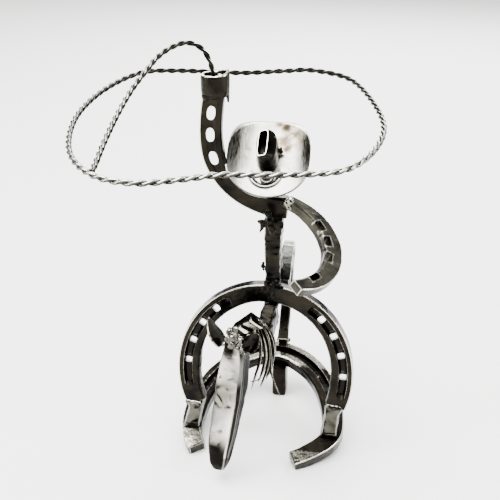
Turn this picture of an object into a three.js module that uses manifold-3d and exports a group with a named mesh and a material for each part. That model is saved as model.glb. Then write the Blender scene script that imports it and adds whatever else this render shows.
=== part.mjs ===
// A roping cowboy on a horse, welded together from old horseshoes, bar ends, sheet and twisted wire.
// Millimetres, +Z up. The horse faces -Y. The group is shifted at the end so that its origin is at the
// middle of the bounding box's underside, on the surface that the sculpture stands on.
import * as THREE from 'three';
import { mergeVertices } from 'three/addons/utils/BufferGeometryUtils.js';
import Module from 'manifold-3d';

const wasm = await Module();
wasm.setup();

// Horseshoe stock
const STOCK = 8.5;          // thickness of a shoe
const WEB_TOE = 17.5;       // width of the bar at the toe
const WEB_SIDE = 16.5;      // width of the bar at the widest part
const WEB_HEEL = 13.5;      // width of the bar at the heels
const NAIL = 4.4;           // side of a nail hole
const CREASE_W = 6;         // width of the crease that the nails sit in
const CREASE_D = 3;         // its depth
const GAP = 0.3;            // weld gap between neighbours

// Arch shoe: stands upright, toe up
const ARCH_TOE = new THREE.Vector3(0.7, -7.5, 143);
const ARCH_ROLL = 2.7;
const ARCH = {
  half: 64, toeRun: 73.3, length: 127.6, heelLeft: 44.3, heelRight: 44.3, power: 2.03,
  web: 14, webSide: 16.2, nailIn: 7,
};
const ARCH_CUT_LEFT = 107;
const ARCH_CUT_RIGHT = 97;

// Base shoe: lies open to the front with its toe raised
const BASE_TOE = new THREE.Vector3(-2.9, 87.5, 41.5);
const BASE_TILT = 16.75;
const BASE_YAW = -2.3;
const BASE_STOCK = 9.8;
const BASE = {
  half: 62.3, toeRun: 82.8, length: 115, heelLeft: 51.4, heelRight: 37.8, power: 1.95, nailIn: 8,
};
const BASE_RIGHT_HEEL = 120; // the right heel is left a little longer than the left

// Body shoe: stands in the horse's middle plane, toe to the back
const BODY_TOE = new THREE.Vector3(2.6, 109, 86.5);
const BODY_ROLL = 2.7;
const BODY_YAW = 2;
const BODY = { half: 64.4, toeRun: 73, length: 128, heelLeft: 45, heelRight: 45, power: 2, nailIn: 8 };
const BODY_FRONT = 107.5;      // run of the upper branch
const BODY_LOW = 28;        // run of the lower branch before it meets the base shoe

// Lasso arm: half a shoe, raised
const LASSO_ARM_TOE = new THREE.Vector3(16.7, 2.5, 189.4);
const LASSO_ARM_ROLL = 4;
const LASSO_ARM = {
  half: 61.4, toeRun: 54.5, length: 97.4, heelLeft: 53.3, heelRight: 53.3, power: 2,
  web: 14.7, webSide: 14.7, webHeel: 14, nailIn: 7.5,
};
const LASSO_ARM_RUN = 88.6;

// Rein arm: half of a smaller shoe, held forward
const REIN_ORIGIN = new THREE.Vector3(14, -8, 202);
const REIN_NORMAL = new THREE.Vector3(0.45, -0.35, 0.82).normalize();
const REIN_OUTER = { x: 6.9, y: -26.1, r: 38.5, from: 103, to: -58 };
const REIN_INNER = { x: 0.5, y: -27.3, r: 32.6, from: 98, to: -55 };
const REIN_START_X = 10.6;

// Hat
const HAT_CENTRE = new THREE.Vector3(-3.2, 12.2, 228.3);
const HAT_TIP = 45;
const BRIM_RX = 29;
const BRIM_RY = 28.5;
const BRIM_CURL = 6;
const BRIM_SHEET = 1.4;

// Lasso
const LASSO_TILT = Math.tan(THREE.MathUtils.degToRad(6));
const LASSO_BACK = new THREE.Vector2(12, 286);
const ROPE_R = 2;
const ROPE_SIDES = 8;

const rad = THREE.MathUtils.degToRad;
const vec = (x, y, z) => new THREE.Vector3(x, y, z);

// ---- solids ----

function toSolid(geometry) {
  const bare = geometry.clone();
  for (const name of Object.keys(bare.attributes)) {
    if (name !== 'position') bare.deleteAttribute(name);
  }
  const merged = mergeVertices(bare, 1e-4);
  return new wasm.Manifold(new wasm.Mesh({
    numProp: 3,
    vertProperties: new Float32Array(merged.attributes.position.array),
    triVerts: new Uint32Array(merged.index.array),
  }));
}

function toGeometry(solid) {
  const mesh = solid.getMesh();
  const geometry = new THREE.BufferGeometry();
  geometry.setAttribute('position', new THREE.BufferAttribute(mesh.vertProperties, 3));
  geometry.setIndex(new THREE.BufferAttribute(mesh.triVerts, 1));
  geometry.computeVertexNormals();
  return geometry;
}

// A closed body through rings of points; the rings run along the piece and wind the same way
function loft(rings) {
  const n = rings[0].length;
  const position = [];
  const index = [];
  for (const ring of rings) {
    for (const p of ring) position.push(p.x, p.y, p.z);
  }
  for (let i = 0; i + 1 < rings.length; i++) {
    for (let j = 0; j < n; j++) {
      const a = i * n + j;
      const b = i * n + (j + 1) % n;
      index.push(a, b, a + n, b, b + n, a + n);
    }
  }
  for (const [base, flip] of [[0, true], [(rings.length - 1) * n, false]]) {
    for (let j = 1; j + 1 < n; j++) {
      if (flip) index.push(base, base + j + 1, base + j);
      else index.push(base, base + j, base + j + 1);
    }
  }
  const geometry = new THREE.BufferGeometry();
  geometry.setAttribute('position', new THREE.Float32BufferAttribute(position, 3));
  geometry.setIndex(index);
  return facingOut(geometry);
}

// Turns a closed mesh's faces outward if they face in
function facingOut(geometry) {
  const p = geometry.attributes.position;
  const index = geometry.index.array;
  const corner = [vec(0, 0, 0), vec(0, 0, 0), vec(0, 0, 0)];
  let volume = 0;
  for (let i = 0; i < index.length; i += 3) {
    corner.forEach((c, k) => c.fromBufferAttribute(p, index[i + k]));
    volume += corner[0].dot(corner[1].clone().cross(corner[2]));
  }
  if (volume < 0) {
    for (let i = 0; i < index.length; i += 3) {
      [index[i], index[i + 1]] = [index[i + 1], index[i]];
    }
  }
  geometry.computeVertexNormals();
  return geometry;
}

// A frame with its X, Y and Z along the given directions and its origin at a point
function frameAt(origin, x, y) {
  const ex = x.clone().normalize();
  const ez = ex.clone().cross(y).normalize();
  const ey = ez.clone().cross(ex);
  return new THREE.Matrix4().makeBasis(ex, ey, ez).setPosition(origin);
}

// ---- horseshoes ----
// A shoe's own frame: X across, Y from the toe to the heels, Z into the thickness.

// Outer edge and inward direction on one side; run goes from 0 at the toe to the shoe's length
function shoeEdge(shoe, side, run) {
  const heel = side < 0 ? shoe.heelLeft : shoe.heelRight;
  const across = (v) => {
    if (v < shoe.toeRun) {
      return shoe.half * (1 - ((shoe.toeRun - v) / shoe.toeRun) ** shoe.power) ** (1 / shoe.power);
    }
    return shoe.half - (shoe.half - heel) * ((v - shoe.toeRun) / (shoe.length - shoe.toeRun)) ** 2.1;
  };
  const step = 0.02;
  const low = Math.max(run - step, 0);
  const du = across(run + step) - across(low);
  const dv = run + step - low;
  const size = Math.hypot(du, dv);
  return {
    point: new THREE.Vector2(side * across(run), run),
    inward: new THREE.Vector2(-side * dv / size, du / size),
  };
}

// Runs that keep the steps even round the toe
function runsOf(shoe, to, steps) {
  const runs = [];
  for (let i = 0; i <= steps; i++) {
    const s = i / steps;
    runs.push(to * s ** 2);
  }
  return runs.filter((r, i) => i === 0 || r > 0.2);
}

function webAt(shoe, run) {
  const toe = shoe.web ?? WEB_TOE;
  const side = shoe.webSide ?? WEB_SIDE;
  if (run < shoe.toeRun) return toe + (side - toe) * (run / shoe.toeRun);
  return side + ((shoe.webHeel ?? WEB_HEEL) - side) * (run - shoe.toeRun) / (shoe.length - shoe.toeRun);
}

// The points of a line that keeps a fixed share of the web's width, from the left end to the right end
function shoeLine(shoe, left, right, inset, steps = 14) {
  const line = [];
  const add = (side, run) => {
    const edge = shoeEdge(shoe, side, run);
    line.push(edge.point.addScaledVector(edge.inward, inset(run)));
  };
  if (left > 0) {
    runsOf(shoe, left, steps).reverse().forEach((run) => run > 0 && add(-1, run));
  }
  if (left > 0 && right > 0) add(1, 0);
  const start = left < 0 ? -left : 0;
  if (right > 0) {
    runsOf(shoe, right, steps).forEach((run) => run > start && add(1, run));
  }
  if (start > 0) line.unshift(shoePoint(shoe, 1, start, inset(start)));
  return line;
}

function shoePoint(shoe, side, run, inset) {
  const edge = shoeEdge(shoe, side, run);
  return edge.point.addScaledVector(edge.inward, inset);
}

function band(outer, inner, from, depth, holes = []) {
  const shape = new THREE.Shape([...outer, ...inner.slice().reverse()]);
  shape.holes = holes.map((h) => new THREE.Path(h));
  return new THREE.ExtrudeGeometry(shape, { depth, bevelEnabled: false }).translate(0, 0, from);
}

function nailHole(shoe, side, run, size = NAIL, long = NAIL) {
  const edge = shoeEdge(shoe, side, run);
  const middle = edge.point.clone().addScaledVector(edge.inward, shoe.nailIn);
  const across = edge.inward;
  const along = new THREE.Vector2(-across.y, across.x);
  const corner = (a, b) => (
    middle.clone().addScaledVector(across, a * size / 2).addScaledVector(along, b * long / 2));
  return [corner(-1, -1), corner(1, -1), corner(1, 1), corner(-1, 1)];
}

// A shoe or a part of one: outline, nail holes and crease
function shoeSolid(shoe, { left, right, stock = STOCK, nails = [], crease = null, long = NAIL }) {
  const outer = shoeLine(shoe, left, right, () => 0);
  const inner = shoeLine(shoe, left, right, (run) => webAt(shoe, run));
  const holes = nails.map(([side, run]) => nailHole(shoe, side, run, NAIL, long));
  let solid = toSolid(band(outer, inner, 0, stock, holes));
  for (const [side, a, b] of crease ?? []) {
    const runs = [0, 1, 2, 3, 4, 5, 6, 7, 8].map((i) => a + (b - a) * i / 8);
    const cut = band(
      runs.map((run) => shoePoint(shoe, side, run, shoe.nailIn - CREASE_W / 2)),
      runs.map((run) => shoePoint(shoe, side, run, shoe.nailIn + CREASE_W / 2)),
      -1, 1 + CREASE_D);
    solid = solid.subtract(toSolid(cut));
  }
  return solid;
}

function place(solid, matrix) {
  return solid.transform(matrix.elements);
}

// A solid less its neighbours, each also moved by the weld gap along the given direction
function clearOf(solid, others, [x, y, z]) {
  for (const other of others) {
    const moved = place(other, new THREE.Matrix4().makeTranslation(x * GAP, y * GAP, z * GAP));
    solid = solid.subtract(other).subtract(moved);
  }
  return solid;
}

// ---- the group ----

const sculpture = new THREE.Group();
const forged = { color: 0x3a342e, roughness: 0.42, metalness: 0.9 };
const polished = { color: 0xb9b7b0, roughness: 0.22, metalness: 1 };
const brightWire = { color: 0x8d8b86, roughness: 0.32, metalness: 1 };

function addPiece(name, solid, look) {
  const mesh = new THREE.Mesh(toGeometry(solid), new THREE.MeshStandardMaterial(look));
  mesh.name = name;
  sculpture.add(mesh);
  return solid;
}

// Frames of the shoes
const archRoll = rad(ARCH_ROLL);
const archFrame = frameAt(
  ARCH_TOE,
  vec(Math.cos(archRoll), 0, -Math.sin(archRoll)),
  vec(-Math.sin(archRoll), 0, -Math.cos(archRoll)));
const baseTilt = rad(BASE_TILT);
const baseYaw = rad(BASE_YAW);
const baseFrame = frameAt(
  BASE_TOE, vec(Math.cos(baseYaw), Math.sin(baseYaw), 0),
  vec(Math.sin(baseYaw) * Math.cos(baseTilt), -Math.cos(baseYaw) * Math.cos(baseTilt), -Math.sin(baseTilt)));
const bodyFrame = frameAt(
  BODY_TOE, vec(-Math.sin(rad(BODY_ROLL)), 0, -Math.cos(rad(BODY_ROLL))),
  vec(Math.sin(rad(BODY_YAW)), -Math.cos(rad(BODY_YAW)), 0));
const armFrame = frameAt(
  LASSO_ARM_TOE, vec(-Math.cos(rad(LASSO_ARM_ROLL)), 0, -Math.sin(rad(LASSO_ARM_ROLL))),
  vec(-Math.sin(rad(LASSO_ARM_ROLL)), 0, Math.cos(rad(LASSO_ARM_ROLL))));

// Height of the base shoe's top face over a point of the floor plan
function baseTopAt(x, y) {
  const normal = new THREE.Vector3().setFromMatrixColumn(baseFrame, 2);
  return BASE_TOE.z - ((x - BASE_TOE.x) * normal.x + (y - BASE_TOE.y) * normal.y) / normal.z;
}

// Everything on one side of the base shoe's faces, to cut the pieces that are welded to it
function slab(matrix, from, to) {
  const box = new THREE.BoxGeometry(400, 400, to - from).translate(0, 60, (from + to) / 2);
  return place(toSolid(box), matrix);
}
const belowBaseTop = slab(baseFrame, -GAP, 200);
const aboveBaseUnder = slab(baseFrame, -200, BASE_STOCK + GAP);
const belowFloor = toSolid(new THREE.BoxGeometry(600, 600, 100).translate(0, 0, -50));

// Arch shoe
const archNails = [-1, 1].flatMap((side) => [18, 32, 49, 68].map((run) => [side, run]));
const arch = addPiece('arch_shoe', place(shoeSolid(ARCH, {
  left: ARCH_CUT_LEFT,
  right: ARCH_CUT_RIGHT,
  nails: archNails,
  crease: [[-1, 9, 86], [1, 9, 86]],
}), archFrame), forged);

const BOOT_Y = 2.5;

// Boots: polished stubs between the arch shoe's heels and the base shoe
function boot(name, side, run, footX) {
  const heel = shoeEdge(ARCH, side, run);
  const middle = heel.point.clone().addScaledVector(heel.inward, webAt(ARCH, run) / 2);
  const top = vec(middle.x, middle.y + GAP, STOCK / 2).applyMatrix4(archFrame);
  const across = vec(heel.inward.x, heel.inward.y, 0).transformDirection(archFrame).multiplyScalar(-side);
  const foot = vec(footX, BOOT_Y, baseTopAt(footX, BOOT_Y));
  const ring = (centre, x, wide, deep) => [
    centre.clone().addScaledVector(x, -wide / 2).add(vec(0, -deep / 2, 0)),
    centre.clone().addScaledVector(x, wide / 2).add(vec(0, -deep / 2, 0)),
    centre.clone().addScaledVector(x, wide / 2).add(vec(0, deep / 2, 0)),
    centre.clone().addScaledVector(x, -wide / 2).add(vec(0, deep / 2, 0)),
  ];
  const low = foot.clone().add(vec(0, 0, -6));
  const solid = toSolid(loft([
    ring(top, across, webAt(ARCH, run) - 1, STOCK),
    ring(top.clone().lerp(foot, 0.3), across.clone().lerp(vec(1, 0, 0), 0.5), 12.5, STOCK + 1.5),
    ring(foot, vec(1, 0, 0), 11, STOCK + 3),
    ring(low, vec(1, 0, 0), 11, STOCK + 3),
  ])).subtract(belowBaseTop);
  addPiece(name, solid, polished);
}
boot('left_boot', -1, ARCH_CUT_LEFT, -61);
boot('right_boot', 1, ARCH_CUT_RIGHT, 45.5);

// Base shoe, ground flat where its heels stand
const baseNails = [-1, 1].flatMap((side) => [24, 38, 54, 71].map((run) => [side, run]));
addPiece('base_shoe', place(shoeSolid(BASE, {
  left: BASE.length,
  right: BASE_RIGHT_HEEL,
  stock: BASE_STOCK,
  nails: baseNails,
  crease: [[-1, 2, 88], [1, 2, 88]],
}), baseFrame).subtract(belowFloor), forged);

// Hind leg: a bar stub from the base shoe's underside to the floor
const LEG = { x: -5.5, wide: 11.6, front: 68, back: 86, round: 3 };
const legSide = new THREE.Shape();
legSide.moveTo(LEG.front, 45);
legSide.lineTo(LEG.front, LEG.round);
legSide.quadraticCurveTo(LEG.front, 0, LEG.front + LEG.round, 0);
legSide.lineTo(LEG.back - LEG.round, 0);
legSide.quadraticCurveTo(LEG.back, 0, LEG.back, LEG.round);
legSide.lineTo(LEG.back, 45);
const legBar = new THREE.ExtrudeGeometry(legSide, { depth: LEG.wide, bevelEnabled: false, curveSegments: 3 });
legBar.applyMatrix4(frameAt(vec(LEG.x, 0, 0), vec(0, 1, 0), vec(0, 0, 1)));
addPiece('hind_leg', toSolid(legBar).subtract(aboveBaseUnder), forged);

// ---- bars ----

// A bar through stations: centre, half width along x, half depth along y, with chamfered corners
function bar(stations, chamfer = 0.25) {
  return loft(stations.map(({ at, x, y, wide, deep }) => {
    const ring = [];
    for (const [a, b] of [[-1, -1], [1, -1], [1, 1], [-1, 1]]) {
      const near = a * b > 0 ? [[1, 1 - chamfer], [1 - chamfer, 1]] : [[1 - chamfer, 1], [1, 1 - chamfer]];
      for (const [p, q] of near) {
        ring.push(at.clone().addScaledVector(x, a * p * wide / 2).addScaledVector(y, b * q * deep / 2));
      }
    }
    return ring;
  }));
}

const X = vec(1, 0, 0);
const Y = vec(0, 1, 0);
const Z = vec(0, 0, 1);

// Torso: a straightened piece of shoe on the arch shoe's toe
const TORSO = { x: 0.6, middle: 3.75, deep: 17.5, foot: 143.4, top: 189.2 };
const torsoStation = (x, z, wide) => ({ at: vec(x, TORSO.middle, z), x: X, y: Y, wide, deep: TORSO.deep });
const torso = addPiece('torso_bar', toSolid(bar([
  torsoStation(TORSO.x, TORSO.foot, STOCK),
  torsoStation(TORSO.x - 0.6, (TORSO.foot + TORSO.top) / 2, STOCK - 0.6),
  torsoStation(TORSO.x + 0.4, TORSO.top, STOCK + 1.5),
], 0.12)), forged);

// Body shoe: the horse's back and rump, from behind the rider down to the base shoe's toe
const bodyShoe = place(shoeSolid(BODY, {
  left: BODY_FRONT,
  right: BODY_LOW,
  nails: [[-1, 38], [-1, 55], [-1, 74]],
  crease: [[-1, 13, 92]],
}), bodyFrame.clone().multiply(new THREE.Matrix4().makeTranslation(0, 0, -STOCK / 2))).subtract(belowBaseTop);
const body = addPiece('body_shoe', clearOf(bodyShoe, [torso, arch], [0, 1, 0]), forged);

// Neck: from under the arch's toe down and forward to the poll
const neckAxis = vec(-4.5, -25, -11).normalize();
const neckUp = vec(0, 0, 1).addScaledVector(neckAxis, -neckAxis.z).normalize();
const neckX = neckUp.clone().cross(neckAxis).normalize();
const neckBar = bar([
  { at: vec(0.8, 1.5, 119.4), x: X, y: Z, wide: 10.5, deep: 18.5 },
  { at: vec(0.4, -8, 118.6), x: X, y: Z, wide: 11, deep: 18.5 },
  { at: vec(-1, -15, 112.5), x: neckX, y: neckUp, wide: 11.5, deep: 17 },
  { at: vec(-5, -23, 105.5), x: neckX, y: neckUp, wide: 10.5, deep: 15 },
], 0.14);

// Head: a tapered bar, its face to the front and a little to the horse's right
const HEAD_YAW = rad(10);
const headX = vec(Math.cos(HEAD_YAW), -Math.sin(HEAD_YAW), 0);
const headBack = vec(Math.sin(HEAD_YAW), Math.cos(HEAD_YAW), 0);
const headStation = (face, wide, deep) => ({
  at: face.clone().addScaledVector(headBack, deep / 2), x: headX, y: headBack, wide, deep });
const headBar = bar([
  headStation(vec(-20, -29.5, 118), 11, 10),
  headStation(vec(-21.2, -32.5, 110), 13.5, 19),
  headStation(vec(-22, -34, 104), 15, 21),
  headStation(vec(-23.6, -37, 87), 17.5, 21),
  headStation(vec(-25.6, -41, 68), 19.4, 20),
  headStation(vec(-27.6, -44.2, 52), 18.6, 19),
  headStation(vec(-29.4, -47, 38), 17.2, 17),
  headStation(vec(-30.8, -49.3, 24), 15, 15),
  headStation(vec(-31.2, -49.8, 15), 13, 13),
  headStation(vec(-31.2, -47.8, 11.5), 8, 8),
], 0.16);
const head = addPiece('horse_head', toSolid(headBar), polished);
const neckPart = clearOf(clearOf(toSolid(neckBar), [head], [0.7, 0.7, 0.7]), [arch, body], [0, 0, -1]);
const neck = addPiece('neck_bar', clearOf(neckPart, [body], [0, -1, 0]), forged);

// Poll piece: a short cut of creased shoe on top of the head
const POLL = { wide: 17, high: 12.5, deep: STOCK, crease: 3.6 };
const pollFrame = frameAt(vec(-11.5, -28, 121.3), vec(0.72, -0.12, 0.66), vec(-0.5, -0.3, 0.6));
const pollBox = toSolid(new THREE.BoxGeometry(POLL.wide, POLL.high, POLL.deep));
const pollCutter = new THREE.BoxGeometry(POLL.wide + 2, POLL.crease, 4).translate(0, -1, POLL.deep / 2);
const pollCrease = toSolid(pollCutter);
const pollPart = clearOf(place(pollBox.subtract(pollCrease), pollFrame), [head], [0, -0.7, 0.7]);
const poll = addPiece('poll_piece', clearOf(pollPart, [neck], [0, -0.7, 0.7]), forged);

// ---- sheet and strip pieces ----

// A leaf of sheet through stations: centre, a direction across and a bulge direction
function leaf(stations, across, bulge, sheet) {
  return loft(stations.map(([at, wide, hollow]) => {
    const front = [];
    const back = [];
    for (const s of [-1, -0.5, 0, 0.5, 1]) {
      const p = at.clone().addScaledVector(across, s * wide / 2).addScaledVector(bulge, hollow * (1 - s * s));
      front.push(p);
      back.unshift(p.clone().addScaledVector(bulge, sheet));
    }
    return [...front, ...back];
  }));
}

const leftEar = leaf([
  [vec(-29.6, -27, 101.5), 5, 1.5],
  [vec(-32.5, -26.6, 107.5), 9, 3.4],
  [vec(-35.4, -26, 113.5), 9, 3],
  [vec(-38.2, -25.4, 119), 5, 1.4],
  [vec(-40.2, -25, 123.6), 1, 0.2],
], vec(0.85, -0.3, 0.42).normalize(), vec(0.1, 0.95, 0.2).normalize(), 1);
addPiece('left_ear', clearOf(toSolid(leftEar), [head, neck, poll], [-1, 0, 0]), forged);
const rightEar = leaf([
  [vec(-12.3, -27, 101), 5, 2],
  [vec(-10.8, -27.4, 105), 10, 4],
  [vec(-9.8, -27.2, 110), 12.4, 4.4],
  [vec(-9.4, -26.6, 114.6), 9, 3],
  [vec(-9.5, -26, 118), 3, 0.6],
], vec(0.97, -0.2, 0.2).normalize(), vec(0.05, 0.96, 0.2).normalize(), 1);
const ear = addPiece('right_ear', clearOf(toSolid(rightEar), [head, neck, poll], [0.7, -0.7, 0]), forged);

// Mane: curved strips that hang from one root at the poll piece's end, beside and before the neck
function strip(points, wide, thick, across) {
  const curve = new THREE.CatmullRomCurve3(points);
  const steps = 7;
  const rings = [];
  for (let i = 0; i <= steps; i++) {
    const t = i / steps;
    const at = curve.getPoint(t);
    const along = curve.getTangent(t);
    const side = across.clone().addScaledVector(along, -across.dot(along)).normalize();
    const up = along.clone().cross(side);
    const w = wide * (t < 0.8 ? 1 : 1 - 0.75 * (t - 0.8) / 0.2) / 2;
    rings.push([[-w, -thick], [w, -thick], [w, thick], [-w, thick]].map(([a, b]) =>
      at.clone().addScaledVector(side, a).addScaledVector(up, b / 2)));
  }
  return loft(rings);
}

const MANE = [
  [vec(-4, -28.5, 125), vec(2.5, -29, 114), vec(4.4, -28, 98), vec(4, -27, 84), vec(10, -26, 65)],
  [vec(-3.5, -27.5, 125.5), vec(4, -27, 113), vec(5, -26, 98), vec(1, -27, 80)],
  [vec(-4, -29.5, 124), vec(0.5, -30.5, 110), vec(0.6, -29, 92), vec(-3.5, -27.5, 71)],
  [vec(-4.5, -30, 123), vec(-1.6, -31.5, 110), vec(-3.4, -30, 94), vec(-10, -27.5, 72)],
  [vec(-3, -26.5, 125), vec(5.5, -25.5, 112), vec(6, -24, 98), vec(3, -25, 82)],
];
const MANE_WIDE = 3.6;
const MANE_THICK = 1.3;
const MANE_ROOT = { at: vec(-2.6, -28, 124), wide: 6, deep: 7, high: 4 };
const maneRoot = new THREE.BoxGeometry(MANE_ROOT.wide, MANE_ROOT.deep, MANE_ROOT.high);
let mane = toSolid(maneRoot.translate(MANE_ROOT.at.x, MANE_ROOT.at.y, MANE_ROOT.at.z));
for (const points of MANE) {
  mane = mane.add(toSolid(strip(points, MANE_WIDE, MANE_THICK, vec(0.35, -0.9, 0))));
}
mane = clearOf(mane, [neck, poll, head, ear], [0.8, 0, 0.6]);
addPiece('mane', mane.decompose().sort((one, other) => other.volume() - one.volume())[0], forged);

// ---- the rider ----

// Lasso arm
const lassoArm = addPiece('lasso_arm', place(shoeSolid(LASSO_ARM, {
  left: -0.35,
  right: LASSO_ARM_RUN,
  nails: [[1, 13], [1, 43.5], [1, 61], [1, 77]],
  crease: [[1, 6, 80]],
  long: NAIL * 1.7,
}), armFrame), forged);

// Rein arm
function arc({ x, y, r, from, to }, steps = 14) {
  const points = [];
  for (let i = 0; i <= steps; i++) {
    const a = rad(from + (to - from) * i / steps);
    points.push(new THREE.Vector2(x + r * Math.cos(a), y + r * Math.sin(a)));
  }
  return points;
}
const reinAcross = Y.clone().cross(REIN_NORMAL).normalize();
const reinFrame = frameAt(REIN_ORIGIN, reinAcross, REIN_NORMAL.clone().cross(reinAcross));
const reinHoles = [53, 31, 8, -32].map((angle) => {
  const a = rad(angle);
  const middle = new THREE.Vector2(3 + 33 * Math.cos(a), -27 + 33 * Math.sin(a));
  const out = new THREE.Vector2(Math.cos(a), Math.sin(a));
  const along = new THREE.Vector2(-out.y, out.x);
  return [[-1, -1], [1, -1], [1, 1], [-1, 1]].map(([p, q]) =>
    middle.clone().addScaledVector(out, p * 2).addScaledVector(along, q * 3.4));
});
const beforeShoulder = toSolid(new THREE.BoxGeometry(60, 60, 60).translate(REIN_START_X - 30, 0, 205));
const reinBand = band(arc(REIN_OUTER), arc(REIN_INNER), -STOCK, STOCK, reinHoles);
const reinPart = place(toSolid(reinBand), reinFrame).subtract(beforeShoulder);
const reinArm = addPiece('rein_arm', clearOf(reinPart, [torso, lassoArm], [1, 0, 0]), forged);

// Neckerchief points, welded on the torso's sides
function scarf(name, at, size, pull) {
  const ball = new THREE.IcosahedronGeometry(size, 1);
  const p = ball.attributes.position;
  for (let i = 0; i < p.count; i++) {
    const low = Math.max(0, -p.getZ(i) / size);
    p.setXYZ(i, p.getX(i) * (1 - 0.6 * low) + pull.x * low, p.getY(i) * 0.8, p.getZ(i) + pull.z * low * low);
  }
  const whole = place(toSolid(ball), new THREE.Matrix4().makeTranslation(at.x, at.y, at.z));
  const outward = Math.sign(at.x - TORSO.x) * 0.6;
  addPiece(name, clearOf(whole, [torso, lassoArm, reinArm], [outward, 0, -0.8]), forged);
}
scarf('left_scarf_knot', vec(-5.6, 0.5, 188), 2.6, vec(0.6, 0, -3.4));
scarf('right_scarf_knot', vec(7.2, 0.5, 187.6), 2.6, vec(0.5, 0, -0.6));

// Hand: a curled strip on the arm's end, round the lasso's standing part
const HAND = { x: -38, y: 4, foot: 274.1, high: 14.5, rx: 9.4, ry: 6.6, sheet: 2.2 };
function handShape() {
  const outer = [];
  const inner = [];
  const steps = 18;
  for (let i = 0; i <= steps; i++) {
    const a = rad(25 - 305 * i / steps);
    outer.push(new THREE.Vector2(HAND.rx * Math.cos(a), HAND.ry * Math.sin(a)));
    inner.push(new THREE.Vector2((HAND.rx - HAND.sheet) * Math.cos(a), (HAND.ry - HAND.sheet) * Math.sin(a)));
  }
  return band(outer, inner, 0, HAND.high);
}
const hand = addPiece('hand', toSolid(handShape().translate(HAND.x, HAND.y, HAND.foot)), forged);

// ---- hat ----

const hatFrame = frameAt(HAT_CENTRE, X, vec(0, Math.cos(rad(HAT_TIP)), Math.sin(rad(HAT_TIP))));

// Height of the brim's sheet: its two sides roll up
function brimLift(x) {
  return BRIM_CURL * Math.abs(x / BRIM_RX) ** 3;
}
function brimSolid() {
  const rings = 5;
  const around = 32;
  const grid = (lift) => {
    const points = [vec(0, 0, lift)];
    for (let i = 1; i <= rings; i++) {
      for (let j = 0; j < around; j++) {
        const a = 2 * Math.PI * j / around;
        const square = (Math.abs(Math.cos(a)) ** 2.5 + Math.abs(Math.sin(a)) ** 2.5) ** (-1 / 2.5);
        const x = BRIM_RX * square * Math.cos(a) * i / rings;
        const y = BRIM_RY * square * Math.sin(a) * i / rings;
        points.push(vec(x, y, brimLift(x) + lift));
      }
    }
    return points;
  };
  const top = grid(BRIM_SHEET / 2);
  const under = grid(-BRIM_SHEET / 2);
  const n = top.length;
  const position = [...top, ...under].flatMap((p) => [p.x, p.y, p.z]);
  const index = [];
  const at = (i, j) => 1 + (i - 1) * around + (j + around) % around;
  for (let j = 0; j < around; j++) {
    index.push(0, at(1, j), at(1, j + 1), n, n + at(1, j + 1), n + at(1, j));
    for (let i = 1; i < rings; i++) {
      const [a, b, c, d] = [at(i, j), at(i + 1, j), at(i + 1, j + 1), at(i, j + 1)];
      index.push(a, b, c, a, c, d, n + a, n + c, n + b, n + a, n + d, n + c);
    }
    const [a, b] = [at(rings, j), at(rings, j + 1)];
    index.push(a, n + a, n + b, a, n + b, b);
  }
  const geometry = new THREE.BufferGeometry();
  geometry.setAttribute('position', new THREE.Float32BufferAttribute(position, 3));
  geometry.setIndex(index);
  return toSolid(facingOut(geometry));
}
const brim = clearOf(place(brimSolid(), hatFrame), [lassoArm, reinArm, torso], [0, -0.7, 0.7]);
addPiece('hat_brim', brim, polished);

// Crown: a pinched tube, slit open at its top
const CROWN = { x: -0.6, y: 2, rx: 7.4, ry: 11, high: 19 };
const crownRing = (scaleX, scaleY, lift, shiftX) => {
  const ring = [];
  for (let i = 0; i < 20; i++) {
    const a = 2 * Math.PI * i / 20;
    const x = CROWN.x + shiftX + CROWN.rx * scaleX * Math.cos(a);
    ring.push(vec(x, CROWN.y + CROWN.ry * scaleY * Math.sin(a), lift));
  }
  return ring;
};
const crownFoot = BRIM_SHEET / 2 + GAP + 0.15;
const crownOuter = toSolid(loft([
  crownRing(1, 1, crownFoot, 0),
  crownRing(1, 1, crownFoot + CROWN.high * 0.5, 0),
  crownRing(0.86, 0.95, crownFoot + CROWN.high, 0),
]));
const crownSlot = toSolid(loft([
  crownRing(0.34, 0.78, crownFoot + 4, -2.2),
  crownRing(0.34, 0.78, crownFoot + CROWN.high + 4, -2.2),
]));
addPiece('hat_crown', place(crownOuter.subtract(crownSlot), hatFrame), forged);
const button = new THREE.CylinderGeometry(4.2, 4.8, 2.6, 16).rotateX(Math.PI / 2)
  .translate(0, -14.2, BRIM_SHEET / 2 + GAP + 1.4);
addPiece('hat_button', place(toSolid(button), hatFrame), forged);

// ---- lasso ----

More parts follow.
